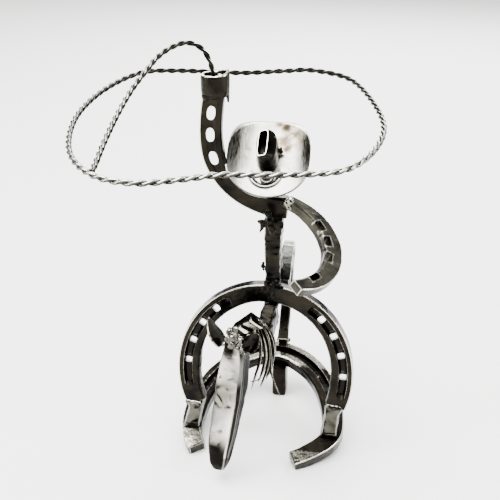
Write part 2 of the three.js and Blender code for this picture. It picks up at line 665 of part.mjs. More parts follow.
const lassoHeight = (y) => LASSO_BACK.y + (y - LASSO_BACK.x) * LASSO_TILT;
const LOOP = [
  [-75, -143], [-51, -150], [-28, -143], [-9, -136], [20, -133], [52, -123], [68, -89], [68, -49], [50, 5],
  [24, 22], [4, 19], [-23, 13], [-65, 13], [-88, 6], [-103, -28], [-106, -72], [-95, -117],
].map(([x, y]) => vec(x, y, lassoHeight(y)));
const STANDING = [
  vec(-38, 4, 279), vec(-39.5, 5, 289), vec(-43, 6, 298), vec(-48, 5, 304), vec(-55.4, 1, 307),
  vec(-62.7, -7, 305.7),
  vec(-69, -17, 302), vec(-73, -29, 297), vec(-78, -50, 289), vec(-80, -76, 281), vec(-79, -105, 275),
  vec(-77, -128, 271), vec(-75, -143, lassoHeight(-143)),
];
const loopCurve = new THREE.CatmullRomCurve3(LOOP, true);
function loopSolid() {
  const steps = 84;
  const frames = loopCurve.computeFrenetFrames(steps, true);
  const position = [];
  const index = [];
  for (let i = 0; i < steps; i++) {
    const at = loopCurve.getPointAt(i / steps);
    for (let j = 0; j < ROPE_SIDES; j++) {
      const a = 2 * Math.PI * j / ROPE_SIDES;
      const p = at.clone().addScaledVector(frames.normals[i], ROPE_R * Math.cos(a))
        .addScaledVector(frames.binormals[i], ROPE_R * Math.sin(a));
      position.push(p.x, p.y, p.z);
    }
  }
  const n = ROPE_SIDES;
  for (let i = 0; i < steps; i++) {
    for (let j = 0; j < n; j++) {
      const a = i * n + j;
      const b = i * n + (j + 1) % n;
      const c = ((i + 1) % steps) * n + j;
      const d = ((i + 1) % steps) * n + (j + 1) % n;
      index.push(a, b, c, b, d, c);
    }
  }
  const geometry = new THREE.BufferGeometry();
  geometry.setAttribute('position', new THREE.Float32BufferAttribute(position, 3));
  geometry.setIndex(index);
  return toSolid(facingOut(geometry));
}
function ropeShape() {
  const shape = new THREE.Shape();
  for (let j = 0; j < ROPE_SIDES; j++) {
    const a = 2 * Math.PI * (j + 0.5) / ROPE_SIDES;
    const method = j ? 'lineTo' : 'moveTo';
    shape[method](ROPE_R * Math.cos(a), ROPE_R * Math.sin(a));
  }
  return shape;
}
const standing = toSolid(new THREE.ExtrudeGeometry(ropeShape(), {
  steps: 40, extrudePath: new THREE.CatmullRomCurve3(STANDING), bevelEnabled: false }));
addPiece('lasso', clearOf(loopSolid().add(standing), [hand, lassoArm], [0, 0, 1]), brightWire);

// Origin at the middle of the underside
const size = new THREE.Box3().setFromObject(sculpture);
sculpture.position.set(-(size.min.x + size.max.x) / 2, -(size.min.y + size.max.y) / 2, -size.min.z);

export default sculpture;
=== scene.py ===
import math
import random

import bpy
import numpy as np
from mathutils import Matrix, Vector, noise


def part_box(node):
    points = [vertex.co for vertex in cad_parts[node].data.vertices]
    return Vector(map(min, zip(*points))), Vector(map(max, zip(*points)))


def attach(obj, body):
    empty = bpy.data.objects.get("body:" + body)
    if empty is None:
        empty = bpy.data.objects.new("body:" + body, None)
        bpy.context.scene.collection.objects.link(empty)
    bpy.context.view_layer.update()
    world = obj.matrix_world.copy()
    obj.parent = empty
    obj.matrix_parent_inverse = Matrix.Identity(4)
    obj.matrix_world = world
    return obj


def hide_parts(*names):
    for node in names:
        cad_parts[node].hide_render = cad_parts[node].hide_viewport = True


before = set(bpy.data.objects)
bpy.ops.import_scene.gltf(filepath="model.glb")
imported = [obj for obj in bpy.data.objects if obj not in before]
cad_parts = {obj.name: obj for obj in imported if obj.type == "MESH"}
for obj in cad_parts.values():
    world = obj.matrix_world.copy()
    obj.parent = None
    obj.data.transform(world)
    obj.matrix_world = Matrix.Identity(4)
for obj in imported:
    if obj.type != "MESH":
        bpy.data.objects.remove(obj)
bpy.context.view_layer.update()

# ---- Floor, lights and camera ----
# A pale studio floor, one broad soft light overhead, a weaker one behind and narrow ones from the
# left and the right. The room is light overhead and dark round the horizon with one grey band, so
# that bare steel has something to mirror.

# The sculptor's own frame has its origin under the middle of the upright shoe, in millimetres
leg_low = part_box("hind_leg")[0]
HIND_LEG_X, HIND_LEG_Y = -5.5, 68.0
ORIGIN = Vector((leg_low.x * 1000 - HIND_LEG_X, leg_low.y * 1000 - HIND_LEG_Y, 0))


def metres(point):
    return (Vector(point) + ORIGIN) * 0.001


def srgb(code):
    """The linear colour of a hex code."""
    channels = [int(code[i:i + 2], 16) / 255 for i in (1, 3, 5)]
    return tuple(c / 12.92 if c < 0.04045 else ((c + 0.055) / 1.055) ** 2.4 for c in channels) + (1,)


def add_node(tree, kind, settings=None, links=None, out=0):
    """Adds a node, sets its properties, sockets or colour stops, links its inputs and gives an output."""
    node = tree.nodes.new("ShaderNode" + kind)
    for name, value in (settings or {}).items():
        if name == "stops":
            while len(node.color_ramp.elements) < len(value):
                node.color_ramp.elements.new(0.5)
            for element, (place, code) in zip(node.color_ramp.elements, value):
                element.position, element.color = place, srgb(code)
        elif isinstance(name, str) and hasattr(node, name):
            setattr(node, name, value)
        else:
            node.inputs[name].default_value = value
    for name, output in (links or {}).items():
        tree.links.new(output, node.inputs[name])
    return node.outputs[out]


def shader_tree(name):
    material = bpy.data.materials.new(name)
    material.use_nodes = True
    tree = material.node_tree
    return material, tree, tree.nodes["Principled BSDF"]


def add_object(name, data):
    thing = bpy.data.objects.new(name, data)
    bpy.context.scene.collection.objects.link(thing)
    return thing


HALF_FLOOR = 20.0
floor_corners = [(x * HALF_FLOOR, y * HALF_FLOOR, 0) for x, y in ((-1, -1), (1, -1), (1, 1), (-1, 1))]
floor_mesh = bpy.data.meshes.new("studio_floor")
floor_mesh.from_pydata(floor_corners, [], [(0, 1, 2, 3)])
floor = add_object("studio_floor", floor_mesh)
floor_paint, _, floor_shader = shader_tree("matt_white_paper")
for socket, value in (("Base Color", srgb("#fcfcfa")), ("Roughness", 0.9), ("Specular IOR Level", 0.1)):
    floor_shader.inputs[socket].default_value = value
floor_mesh.materials.append(floor_paint)

world = bpy.data.worlds.new("studio")
bpy.context.scene.world = world
world.use_nodes = True
sky = world.node_tree
direction = add_node(sky, "TexCoord", out="Generated")
height = add_node(sky, "SeparateXYZ", links={"Vector": direction}, out="Z")
bands = add_node(sky, "Math", {"operation": "MULTIPLY_ADD", 1: 0.5, 2: 0.5}, {0: height})
SKY_STOPS = ((0.0, "#c8c8c8"), (0.5, "#161616"), (0.55, "#5a5a5a"), (0.6, "#101010"), (0.72, "#1c1c1c"),
             (0.82, "#e0e0e0"), (1.0, "#ffffff"))
light_rooms = add_node(sky, "ValToRGB", {"stops": SKY_STOPS}, {"Fac": bands})
background = sky.nodes["Background"]
background.inputs["Strength"].default_value = 1.9
sky.links.new(light_rooms, background.inputs["Color"])


def face_along(thing, place, direction):
    """Stands a light or the camera at a place, looking in a direction."""
    thing.location = place
    thing.rotation_mode = "QUATERNION"
    thing.rotation_quaternion = direction.to_track_quat("-Z", "Y")


def soft_light(name, size, power, place, aim):
    data = bpy.data.lights.new(name, "AREA")
    data.shape = "RECTANGLE"
    data.size, data.size_y = size
    data.energy = power
    face_along(add_object(name, data), place, aim - place)


HEART = metres((0, 0, 150))
soft_light("overhead_softbox", (1.6, 1.2), 110, HEART + Vector((-0.3, -0.3, 1.6)), HEART)
soft_light("left_softbox", (0.5, 1.4), 30, HEART + Vector((-1.5, -0.9, 0.5)), HEART)
soft_light("right_strip", (0.3, 1.2), 24, HEART + Vector((1.4, -0.5, 0.5)), HEART)
soft_light("back_softbox", (1.4, 0.8), 55, HEART + Vector((0.2, 1.6, 0.9)), HEART)

# The camera stands 0.6 m from the middle of the sculpture, a little to its left and above it
CAMERA_AZIMUTH, CAMERA_ELEVATION, CAMERA_DISTANCE = 8.05, 25.02, 600.0
CAMERA_AIM = Vector((-14.5, 0.0, 165.84))
CAMERA_FIELD = 2 * math.atan(250 / 866.3)
azimuth, elevation = math.radians(CAMERA_AZIMUTH), math.radians(CAMERA_ELEVATION)
camera_back = Vector((math.sin(azimuth) * math.cos(elevation), -math.cos(azimuth) * math.cos(elevation),
                      math.sin(elevation)))
camera_data = bpy.data.cameras.new("camera")
camera_data.sensor_width = 36
camera_data.angle = CAMERA_FIELD
camera_data.clip_start, camera_data.clip_end = 0.01, 50
camera = add_object("camera", camera_data)
face_along(camera, metres(CAMERA_AIM + camera_back * CAMERA_DISTANCE), -camera_back)
bpy.context.scene.camera = camera

# ---- Arch shoe: the horse's chest and forelegs ----
# An old riding shoe stood on its heels. Fullered mild steel, hot forged, with a nail crease and
# four nail holes a side, brown-black with fire scale under clear lacquer and worn bright on its
# arrises. Its toe carries the rider; its heels are welded to the boots.

STOCK = 8.5
CREASE_WIDTH = 6.4
CREASE_DEPTH = 3.8
NAIL = 4.9
BAR_STEP = 0.9


def clamp(value):
    return min(1.0, max(0.0, value))


def squared(angle, round_x, round_y):
    """A point of the unit circle, pulled out towards a square's corners."""
    c, s = math.cos(angle), math.sin(angle)
    return math.copysign(abs(c) ** round_x, c), math.copysign(abs(s) ** round_y, s)


def around(count, offset=0):
    """The angles of even steps round a circle."""
    return [2 * math.pi * (k + offset) / count for k in range(count)]


def shoe_edge(shoe, side, run):
    """Point on the outer edge and the inward direction, where run is measured from the toe."""
    heel = shoe["heel_left"] if side < 0 else shoe["heel_right"]

    def across(v):
        if v < shoe["toe_run"]:
            rise = 1 - ((shoe["toe_run"] - v) / shoe["toe_run"]) ** shoe["power"]
            return shoe["half"] * max(rise, 0) ** (1 / shoe["power"])
        past = (v - shoe["toe_run"]) / (shoe["length"] - shoe["toe_run"])
        return shoe["half"] - (shoe["half"] - heel) * past ** 2.1

    low = max(run - 0.02, 0)
    du, dv = across(run + 0.02) - across(low), run + 0.02 - low
    size = math.hypot(du, dv)
    return np.array([side * across(run), run]), np.array([-side * dv, du]) / size


def web_at(shoe, run):
    if run < shoe["toe_run"]:
        return shoe["web"] + (shoe["web_side"] - shoe["web"]) * run / shoe["toe_run"]
    past = (run - shoe["toe_run"]) / (shoe["length"] - shoe["toe_run"])
    return shoe["web_side"] + (shoe["web_heel"] - shoe["web_side"]) * past


def shoe_stations(shoe, left, right, start=None):
    """Even steps along the bar from the left end to the right end: point, inward, web, side and run."""
    fine = [i / 1500 for i in range(1501)]
    signed = [(-1, left * s ** 2) for s in fine[:0:-1]] + [(1, right * s ** 2) for s in fine[1:]]
    if start is not None:
        signed = [(1, start + (right - start) * s ** 1.5) for s in fine]
    raw = [(*shoe_edge(shoe, s, r), web_at(shoe, r), s, r) for s, r in signed]
    stations, travelled = [raw[0]], 0.0
    for before, here in zip(raw, raw[1:]):
        middle = here[0] + here[1] * here[2] / 2 - before[0] - before[1] * before[2] / 2
        travelled += math.hypot(*middle)
        if travelled >= BAR_STEP:
            stations.append(here)
            travelled = 0.0
    return stations


def bar_profile(web, stock, depth, nail_in, shine):
    """Section of a shoe bar from its outer edge round: (inset, depth, wear, dirt)."""
    points = []

    def arc(x, z, r, a, b, n, wear):
        for k in range(n):
            angle = math.radians(a + (b - a) * k / (n - 1))
            points.append((x + r * math.cos(angle), z + r * math.sin(angle), wear, 0))

    def flat(x0, x1, n, z, wear, dirt=0):
        points.extend((x0 + (x1 - x0) * k / (n + 1), z, wear, dirt) for k in range(1, n + 1))

    out, inner, back = 0.6, 2.2, 1.3
    far = min(nail_in + CREASE_WIDTH / 2, web - inner - 0.4)
    near = min(nail_in - CREASE_WIDTH / 2, far - 2.0)
    groove = depth / CREASE_DEPTH
    dull = shine * (1 - groove)
    lip, wall = (depth * 0.15, 0.1 * groove + dull, 0.5 * groove), (depth * 0.8, dull, groove)
    arc(out, out, out, 180, 270, 5, 0.9)
    points.append((out + 0.15, 0, shine, 0))
    flat(out + 0.15, near, 3, 0, shine)
    points += [(near, 0, dull + 0.6 * groove, 0), (near + 0.3, *lip), (near + 0.8, *wall)]
    flat(near + 0.8, far - 0.8, 5, depth, dull, groove)
    points += [(far - 0.8, *wall), (far - 0.3, *lip), (far, 0, dull + 0.5 * groove, 0)]
    flat(far, web - inner, 4, 0, shine)
    arc(web - inner, inner, inner, 270, 360, 7, shine + 0.12)
    points.extend((web, inner + (stock - back - inner) * k / 6, 0.0, 0) for k in range(1, 6))
    arc(web - back, stock - back, back, 0, 90, 5, 0.2)
    flat(web - back, back, 11, stock, 0.05)
    arc(back, stock - back, back, 90, 180, 5, 0.3)
    points.extend((0, stock - back + (out - stock + back) * k / 7, 0.0, 0) for k in range(1, 7))
    points.append((0, out + 0.15, 0.0, 0))
    return points


def mesh_piece(name, points, faces, wear=None, dirt=None, sharp=38):
    """A shown object from points in the sculptor's frame, with its wear and painted sheen, and its dirt and
    painted shade, on its corners.
    """
    mesh = bpy.data.meshes.new(name)
    mesh.from_pydata([tuple(metres(p)) for p in points], [], faces)
    for label, values in (("wear", wear), ("dirt", dirt)):
        data = mesh.attributes.new(label, "FLOAT", "POINT")
        data.data.foreach_set("value", np.zeros(len(points)) if values is None else np.clip(values, 0, 1))
    piece = add_object(name, mesh)
    smooth(piece, sharp)
    return piece


def smooth(piece, sharp=38):
    piece.data.shade_smooth()
    piece.data.set_sharp_from_angle(angle=math.radians(sharp))


def tube_faces(rings, sides, closed=False, start=0):
    """Quads between rings of points, and flat caps on an open tube's ends."""
    faces = []
    for i in range(rings if closed else rings - 1):
        here, there = start + i * sides, start + (i + 1) % rings * sides
        for j in range(sides):
            beside = (j + 1) % sides
            faces.append((here + j, here + beside, there + beside, there + j))
    if not closed:
        last = start + (rings - 1) * sides
        faces += [tuple(range(start, start + sides))[::-1], tuple(range(last, last + sides))]
    return faces


def face_out(piece):
    """Turns a closed mesh's faces outward."""
    mesh = piece.data
    mesh.calc_loop_triangles()
    points = np.empty(len(mesh.vertices) * 3)
    mesh.vertices.foreach_get("co", points)
    points = points.reshape(-1, 3)
    corners = np.array([t.vertices[:] for t in mesh.loop_triangles])
    a, b, c = (points[corners[:, k]] for k in range(3))
    if np.einsum("ij,ij->i", a, np.cross(b, c)).sum() < 0:
        mesh.flip_normals()


def roughen(piece, *layers):
    """Pushes the surface in and out by layers of noise: (size of the lumps in mm, depth in mm)."""
    mesh = piece.data
    normals = [v.normal.copy() for v in mesh.vertices]
    for vertex, normal in zip(mesh.vertices, normals):
        at = vertex.co * 1000
        vertex.co += normal * 0.001 * sum(noise.noise(at / lump) * deep for lump, deep in layers)


def settle(piece):
    """Makes the modifiers' result the piece's own mesh."""
    result = bpy.data.meshes.new_from_object(piece.evaluated_get(bpy.context.evaluated_depsgraph_get()))
    piece.modifiers.clear()
    piece.data = result


HOLE_SIDES = 20


def punch(piece, holes, matrix, pitch, lean, corner, taper):
    """Cuts nail holes: (middle, across, along, width, length) in the shoe's plane."""
    points, faces = [], []
    for middle, across, along, width, length in holes:
        faces += tube_faces(2, HOLE_SIDES, start=len(points))
        for z, slope in ((-2.0, 1.02), (STOCK + 4.0, taper)):
            for angle in around(HOLE_SIDES, 0.5):
                x, y = squared(angle, corner, corner)
                flat = middle + across * x * width / 2 * slope + along * y * length / 2 * slope
                points.append(matrix @ Vector((flat[0] + lean * z, flat[1] + pitch * z, z)))
    cutter = mesh_piece("punch", points, faces, dirt=np.full(len(points), 0.8))
    face_out(cutter)
    cut = piece.modifiers.new("holes", "BOOLEAN")
    cut.operation, cut.solver, cut.object = "DIFFERENCE", "EXACT", cutter
    settle(piece)
    bpy.data.objects.remove(cutter)


def bar_piece(name, stations, matrix, stock=STOCK, nail_in=7.5, creases=(), holes=(), pitch=0.0, shine=0.1,
              lumps=((14, 0.35), (4, 0.12)), lean=0.0, corner=0.45, taper=0.95, hole_wear=0.55):
    """A length of shoe bar through its stations, creased, roughened, with rounded ends and punched holes."""
    rows = []
    first, last = stations[0], stations[-1]
    ends = [(first, -0.7, 2.0, 0.0), (first, -0.7, 0.8, 0.75), *((s, 0.0, 0.0, 0.0) for s in stations),
            (last, 0.7, 0.8, 0.75), (last, 0.7, 2.0, 0.0)]
    total = len(ends)
    for index, (station, beyond, shrink, bright) in enumerate(ends):
        point, inward, web, side, run = station
        ahead = np.array([inward[1], -inward[0]])
        here, there = stations[:2] if index < total / 2 else stations[-2:]
        if ahead @ (there[0] - here[0]) < 0:
            ahead = -ahead
        groove = 0.0
        for crease_side, start, end, deep in creases:
            if side == crease_side:
                groove = max(groove, clamp(min(run - start, end - run) / 2.2) * deep)
        for x, z, wear, dirt in bar_profile(web, stock, CREASE_DEPTH * groove, nail_in, shine):
            x = min(max(x, shrink), web - shrink)
            z = min(max(z, shrink), stock - shrink)
            flat = point + inward * x + ahead * beyond
            for middle, across, along, width, length in holes:
                off = flat - middle
                edge = max(abs(off @ across) - width / 2, abs(off @ along) - length / 2)
                if 0 < edge < 1.1 and z < stock / 2:
                    wear = max(wear, hole_wear)
            local = Vector((flat[0], flat[1], z))
            rows.append((matrix @ local, bright if shrink else wear, dirt))
    sides = len(rows) // total
    points, wears, dirts = zip(*rows)
    piece = mesh_piece(name, points, tube_faces(total, sides), wears, dirts)
    face_out(piece)
    roughen(piece, *lumps)
    if holes:
        punch(piece, holes, matrix, pitch, lean, corner, taper)
    smooth(piece)
    return piece


def nail_holes(shoe, nail_in, *nails, wide=NAIL, long=NAIL):
    """Holes on the nail line, given as side and run."""
    holes = []
    for side, run in nails:
        point, inward = shoe_edge(shoe, side, run)
        holes.append((point + inward * nail_in, inward, np.array([-inward[1], inward[0]]), wide, long))
    return holes


def plane(origin, across, down):
    """A matrix whose X and Y lie along the given directions, and Z into the thickness."""
    x = Vector(across).normalized()
    z = x.cross(Vector(down)).normalized()
    y = z.cross(x)
    matrix = Matrix((x, y, z)).transposed().to_4x4()
    matrix.translation = Vector(origin)
    return matrix


def worn_metal(name, *patterns):
    """A new metal's tree and shader, its painted wear and painted sheen, its dirt and painted shade, and the
    output of each pattern.

    A pattern is a texture's kind, the size of its lumps in millimetres and its other settings."""
    material, tree, shader = shader_tree(name)
    shader.inputs["Metallic"].default_value = 1.0
    place = add_node(tree, "TexCoord", out="Object")
    painted = [add_node(tree, "Attribute", {"attribute_name": label}, out="Fac")
               for label in ("wear", "dirt")]
    made = [add_node(tree, "Tex" + kind, {"Scale": 1000 / size, **settings}, {"Vector": place})
            for kind, size, settings in patterns]
    return material, tree, shader, *painted, *made


def cover(tree, shader, colour, coats, rough, *reliefs):
    """Lays coats (amount, hex code) over a colour, and joins the finish to its shader.

    A relief is the output that shapes it, its strength and its height in millimetres."""
    for amount, code in coats:
        colour = add_node(tree, "Mix", {"data_type": "RGBA", 7: srgb(code)}, {0: amount, 6: colour}, 2)
    normal = {}
    for shape, strength, high in reliefs:
        settings = {"Strength": strength, "Distance": high * 0.001}
        normal = {"Normal": add_node(tree, "Bump", settings, {"Height": shape, **normal})}
    for socket, output in {"Base Color": colour, "Roughness": rough, **normal}.items():
        tree.links.new(output, shader.inputs[socket])


def forged_steel(name, scale_code="#060605", rust_code="#1b1812", bright_code="#cbc8b8", gloss=0.27,
                 bright_from=0.42):
    """Mild steel, hot forged: brown-black fire scale under clear lacquer, silvery where it is rubbed.

    The lacquer gives it a wet look; the bare metal shows as crisp light lines on every arris.
    The bare colour also paints the highlights that a piece marks, and the dark mix paints soot
    and painted shade."""
    material, tree, shader, wear, dirt, patches, grain, pits, dents = worn_metal(
        name, ("Noise", 16, {"Detail": 5, "Roughness": 0.6}),
        ("Noise", 1.6, {"Detail": 4, "Roughness": 0.65}),
        ("Voronoi", 2.6, {"Randomness": 1.0}), ("Noise", 6, {"Detail": 2}))
    scale = add_node(tree, "ValToRGB", {"stops": ((0.34, scale_code), (0.62, rust_code))}, {"Fac": patches})
    rubbed = add_node(tree, "Math", {"operation": "MULTIPLY_ADD", 1: 0.5, 2: -0.25}, {0: grain})
    broken = add_node(tree, "Math", {"operation": "ADD"}, {0: wear, 1: rubbed})
    # Bare rubbed metal, and painted highlights where a piece marks them
    bare_and_highlight = add_node(tree, "MapRange", {"From Min": bright_from, "From Max": 0.85}, {"Value": broken})
    # Soot, and painted shade where a piece marks it
    painted_dark = add_node(tree, "Math", {"operation": "MULTIPLY", 1: 0.8}, {0: dirt})
    lacquer = add_node(tree, "MapRange", {"To Min": gloss, "To Max": 0.2}, {"Value": bare_and_highlight})
    uneven = add_node(tree, "Math", {"operation": "MULTIPLY_ADD", 1: 0.22, 2: -0.1}, {0: patches})
    rough = add_node(tree, "Math", {"operation": "ADD", "use_clamp": True}, {0: lacquer, 1: uneven})
    cover(tree, shader, scale, ((bare_and_highlight, bright_code), (painted_dark, "#0b0907")), rough,
          (grain, 0.35, 0.18), (dents, 0.5, 1.2), (pits, 0.3, 0.3))
    shader.inputs["Coat Weight"].default_value = 0.05
    shader.inputs["Coat Roughness"].default_value = 0.18
    return material


def finish_piece(piece, material, *nodes, slot="forged_steel"):
    """Gives a piece its material and its place on the sculpture; the slot argument is not used."""
    piece.data.materials.clear()
    piece.data.materials.append(material)
    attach(piece, "root")
    if nodes:
        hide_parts(*nodes)


ARCH = {"half": 64, "toe_run": 73.3, "length": 127.6, "heel_left": 44.3, "heel_right": 44.3, "power": 2.03,
        "web": 14.0, "web_side": 16.2, "web_heel": 13.5}
ARCH_ROLL = math.radians(2.7)
ARCH_NAIL_IN = 7.0
arch_plane = plane((0.7, -7.5, 143), (math.cos(ARCH_ROLL), 0, -math.sin(ARCH_ROLL)),
                   (-math.sin(ARCH_ROLL), 0, -math.cos(ARCH_ROLL)))
shoe_steel = forged_steel("forged_mild_steel")
arch_holes = nail_holes(ARCH, ARCH_NAIL_IN, *[(side, run) for side in (-1, 1) for run in (18, 32, 49, 68)])
arch = bar_piece("arch_shoe_forging", shoe_stations(ARCH, 107, 97), arch_plane, nail_in=ARCH_NAIL_IN,
                 creases=[(-1, 9, 92, 1), (1, 9, 88, 1)], holes=arch_holes, pitch=0.42, shine=0.04)
finish_piece(arch, shoe_steel, "arch_shoe")

# ---- Boots ----
# Two stubs of bar, ground and mirror-polished, that run from the arch shoe's heels down to the
# branches of the flat shoe. Each ends in a rounded toe cap with a dark welt scored round it.


def polished_steel(name, bright_code="#55544b", shade_code="#211f1a", gloss=0.16, wave=9.0,
                   clouded=(0.3, 0.68)):
    """Mild steel ground by hand and buffed: its colour is painted in soft, pulled clouds between a dark
    and a light tone, as painted reflections of the room.

    Hollows keep brown-black scale, and painted shade darkens it the same way; painted highlights
    lighten it; buffing leaves faint scratches along the piece."""
    material, tree, shader, wear, dirt, clouds, hammered, scratches = worn_metal(
        name, ("Noise", 12, {"Detail": 3, "Distortion": 0.8}),
        ("Noise", wave, {"Detail": 1.5, "Roughness": 0.4}), ("Noise", 0.9, {"Detail": 2}))
    stops = tuple(zip(clouded, (shade_code, bright_code)))
    bright = add_node(tree, "ValToRGB", {"stops": stops}, {"Fac": clouds})
    ragged = add_node(tree, "Math", {"operation": "MULTIPLY_ADD", 1: 0.6, 2: -0.3}, {0: clouds})
    spread = add_node(tree, "Math", {"operation": "ADD", "use_clamp": True}, {0: dirt, 1: ragged})
    # Dirt and painted shade, broken up by the clouds
    soil_and_shade = add_node(tree, "MapRange", {"From Min": 0.25, "From Max": 0.6}, {"Value": spread})
    rough = add_node(tree, "MapRange", {"To Min": gloss, "To Max": 0.5}, {"Value": soil_and_shade})
    cover(tree, shader, bright, ((soil_and_shade, "#0d0b08"), (wear, "#efece4")), rough,
          (hammered, 0.8, 1.6), (scratches, 0.08, 0.1))
    return material


def loft_piece(name, rings, lumps=(), sharp=38):
    """A closed piece through rings of corners, each a point with its wear and painted sheen and its dirt and
    painted shade.
    """
    points, wear, dirt = zip(*(corner for ring in rings for corner in ring))
    piece = mesh_piece(name, points, tube_faces(len(rings), len(rings[0])), wear, dirt, sharp)
    face_out(piece)
    if lumps:
        roughen(piece, *lumps)
    return piece


def soft_square(wide, deep, roundness, count=36):
    """Corners of a rounded rectangle as (x, y, edge), where edge is 1 on its four arrises."""
    corners = []
    for angle in around(count):
        x, y = squared(angle, roundness, roundness)
        off_arris = abs(abs(math.cos(angle)) - abs(math.sin(angle)))
        corners.append((x * wide / 2, y * deep / 2, clamp(1 - off_arris / 0.22)))
    return corners


def bell(value, middle, width, power=2):
    """1 at the middle, fading smoothly to nothing on both sides."""
    return math.exp(-((value - middle) / width) ** power)


def between(keys, t):
    """In-between values of a list of equal-length tuples whose first entries are positions."""
    positions = [k[0] for k in keys]
    return [float(np.interp(t, positions, [k[i] for k in keys])) for i in range(1, len(keys[0]))]


EASE = 0.035


def eased(keys, steps):
    """Values along a list of key stations, rounded off between them."""
    span = keys[-1][0] - keys[0][0]
    rows = []
    for i in range(steps + 1):
        t = keys[0][0] + span * i / steps
        taps = [between(keys, t + off * span * EASE) for off in (-1, -0.5, 0, 0.5, 1)]
        rows.append([sum(column) / len(taps) for column in zip(*taps)])
    return rows


buffed_steel = polished_steel("buffed_mild_steel")

BASE = {"half": 62.3, "toe_run": 82.8, "length": 115, "heel_left": 51.4, "heel_right": 37.8, "power": 1.95,
        "web": 17.5, "web_side": 16.5, "web_heel": 13.5}
BASE_TOE = Vector((-2.9, 87.5, 41.5))
BASE_TILT, BASE_YAW = math.radians(16.75), math.radians(-2.3)
BASE_STOCK = 9.8
base_plane = plane(BASE_TOE, (math.cos(BASE_YAW), math.sin(BASE_YAW), 0),
                   (math.sin(BASE_YAW) * math.cos(BASE_TILT), -math.cos(BASE_YAW) * math.cos(BASE_TILT),
                    -math.sin(BASE_TILT)))


def base_top(x, y):
    """Height of the flat shoe's upper face above a point of the floor."""
    normal = base_plane.col[2].xyz
    return BASE_TOE.z - ((x - BASE_TOE.x) * normal.x + (y - BASE_TOE.y) * normal.y) / normal.z


BOOT_STEPS = 46


def boot(name, side, run, foot_x):
    point, inward = shoe_edge(ARCH, side, run)
    middle = point + inward * web_at(ARCH, run) / 2
    top = arch_plane @ Vector((middle[0], middle[1] - 3, STOCK / 2))
    foot = Vector((foot_x, 2.5, base_top(foot_x, 2.5)))
    # part of the height, width, depth, roundness, waist
    keys = [(0, 12.5, 8.6, 0.3, 0), (0.16, 13.6, 9, 0.34, 0.2), (0.4, 11.2, 9.4, 0.5, 0.9),
            (0.62, 11.8, 10.8, 0.45, 0.6), (0.86, 11.6, 12, 0.38, 0.1), (0.93, 12.4, 12.8, 0.36, 0),
            (1, 12.6, 13, 0.34, 0)]
    rings = []
    for i, (wide, deep, roundness, waist) in enumerate(eased(keys, BOOT_STEPS)):
        t = i / BOOT_STEPS
        centre = top.lerp(foot, t) + Vector((-side * waist * 0.8, waist * 0.9, 0))
        welt = 1.1 * bell(t, 0.9, 0.018)
        scorch = 0.7 * clamp(1 - t / 0.1)
        rubbed = 0.2 if t > 0.93 else 1
        ring = []
        for x, y, edge in soft_square(wide, deep, roundness):
            # Painted light and shade: the front half's arrises are painted bright and the back half is
            # painted dark
            wear, painted_dark = (0.45, 0) if y < 0 else (0.1, 0.45)
            ring.append((centre + Vector((x, y, 0)), edge * wear * rubbed, welt + scorch + painted_dark))
        rings.append(ring)
    piece = loft_piece(name, rings, ((9, 0.45), (3.5, 0.12)))
    finish_piece(piece, buffed_steel, name.replace("_ground", ""), slot="polished_steel")


boot("left_boot_ground", -1, 107, -59.5)
boot("right_boot_ground", 1, 97, 45.5)

# ---- Flat shoe ----
# A second riding shoe laid open to the front as the sculpture's base, toe raised on the hind leg.
# Same fullered steel; its heels are ground flat underneath where they stand, and bare on top.
# The tops of the heels and round the toe are lightened: bare metal and a painted sheen.

base_holes = nail_holes(BASE, 8.0, *[(side, run) for side in (-1, 1) for run in (24, 38, 54, 71)])
base = bar_piece("flat_shoe_forging", shoe_stations(BASE, 115, 119), base_plane, BASE_STOCK, 8.0,
                 creases=[(-1, -5, 90, 1), (1, -5, 90, 1)], holes=base_holes, shine=0.22)
# On faces turned up, the heel ends and the toe's ring are lightened: bare rubbed metal and a painted sheen
# from the overhead light
LEFT_HEEL_BRIGHT, RIGHT_HEEL_BRIGHT, TOE_BRIGHT = 92, 103, 34
into_base = base_plane.inverted()
for vertex, value in zip(base.data.vertices, base.data.attributes["wear"].data):
    spot = into_base @ (vertex.co * 1000 - ORIGIN)
    if vertex.normal.z > 0.5 and value.value < 0.5:
        heel = clamp((spot.y - (LEFT_HEEL_BRIGHT if spot.x < 0 else RIGHT_HEEL_BRIGHT)) / 4)
        toe = clamp((TOE_BRIGHT - spot.y) / 12) * (value.value > 0.15)
        value.value = max(value.value, (0.6 if spot.x < 0 else 0.48) * heel, 0.62 * toe)


def grind_flat(piece):
    """Takes off what would reach below the floor."""
    for vertex in piece.data.vertices:
        vertex.co.z = max(vertex.co.z, 0.0)


grind_flat(base)
finish_piece(base, shoe_steel, "base_shoe")

# ---- Hind leg ----
# A short stub of round-cornered black bar under the raised toe, sawn off and welded on, its foot
# rounded by grinding.

LEG_FRONT, LEG_BACK, LEG_LEFT, LEG_WIDE = 68.0, 86.0, -5.5, 11.6
LEG_STEPS = 40
leg_middle = Vector((LEG_LEFT + LEG_WIDE / 2, (LEG_FRONT + LEG_BACK) / 2, 0))
leg_rings = []
for i in range(LEG_STEPS + 1):
    t = i / LEG_STEPS
    tuck = 2.2 * clamp(1 - t / 0.09) ** 2
    ring = []
    for x, y, edge in soft_square(LEG_WIDE - tuck, LEG_BACK - LEG_FRONT - tuck, 0.28, 40):
        top = base_top(leg_middle.x, leg_middle.y + y) - BASE_STOCK + 0.6
        ring.append((leg_middle + Vector((x, y, top * t)), 0.45 * edge + 0.5 * clamp(1 - t / 0.08), 0))
    leg_rings.append(ring)
leg = loft_piece("hind_leg_bar", leg_rings, ((12, 0.2), (3, 0.08)))
grind_flat(leg)
leg_steel = forged_steel("drawn_bar_steel", scale_code="#080706", rust_code="#1d1812", gloss=0.34)
finish_piece(leg, leg_steel, "hind_leg")
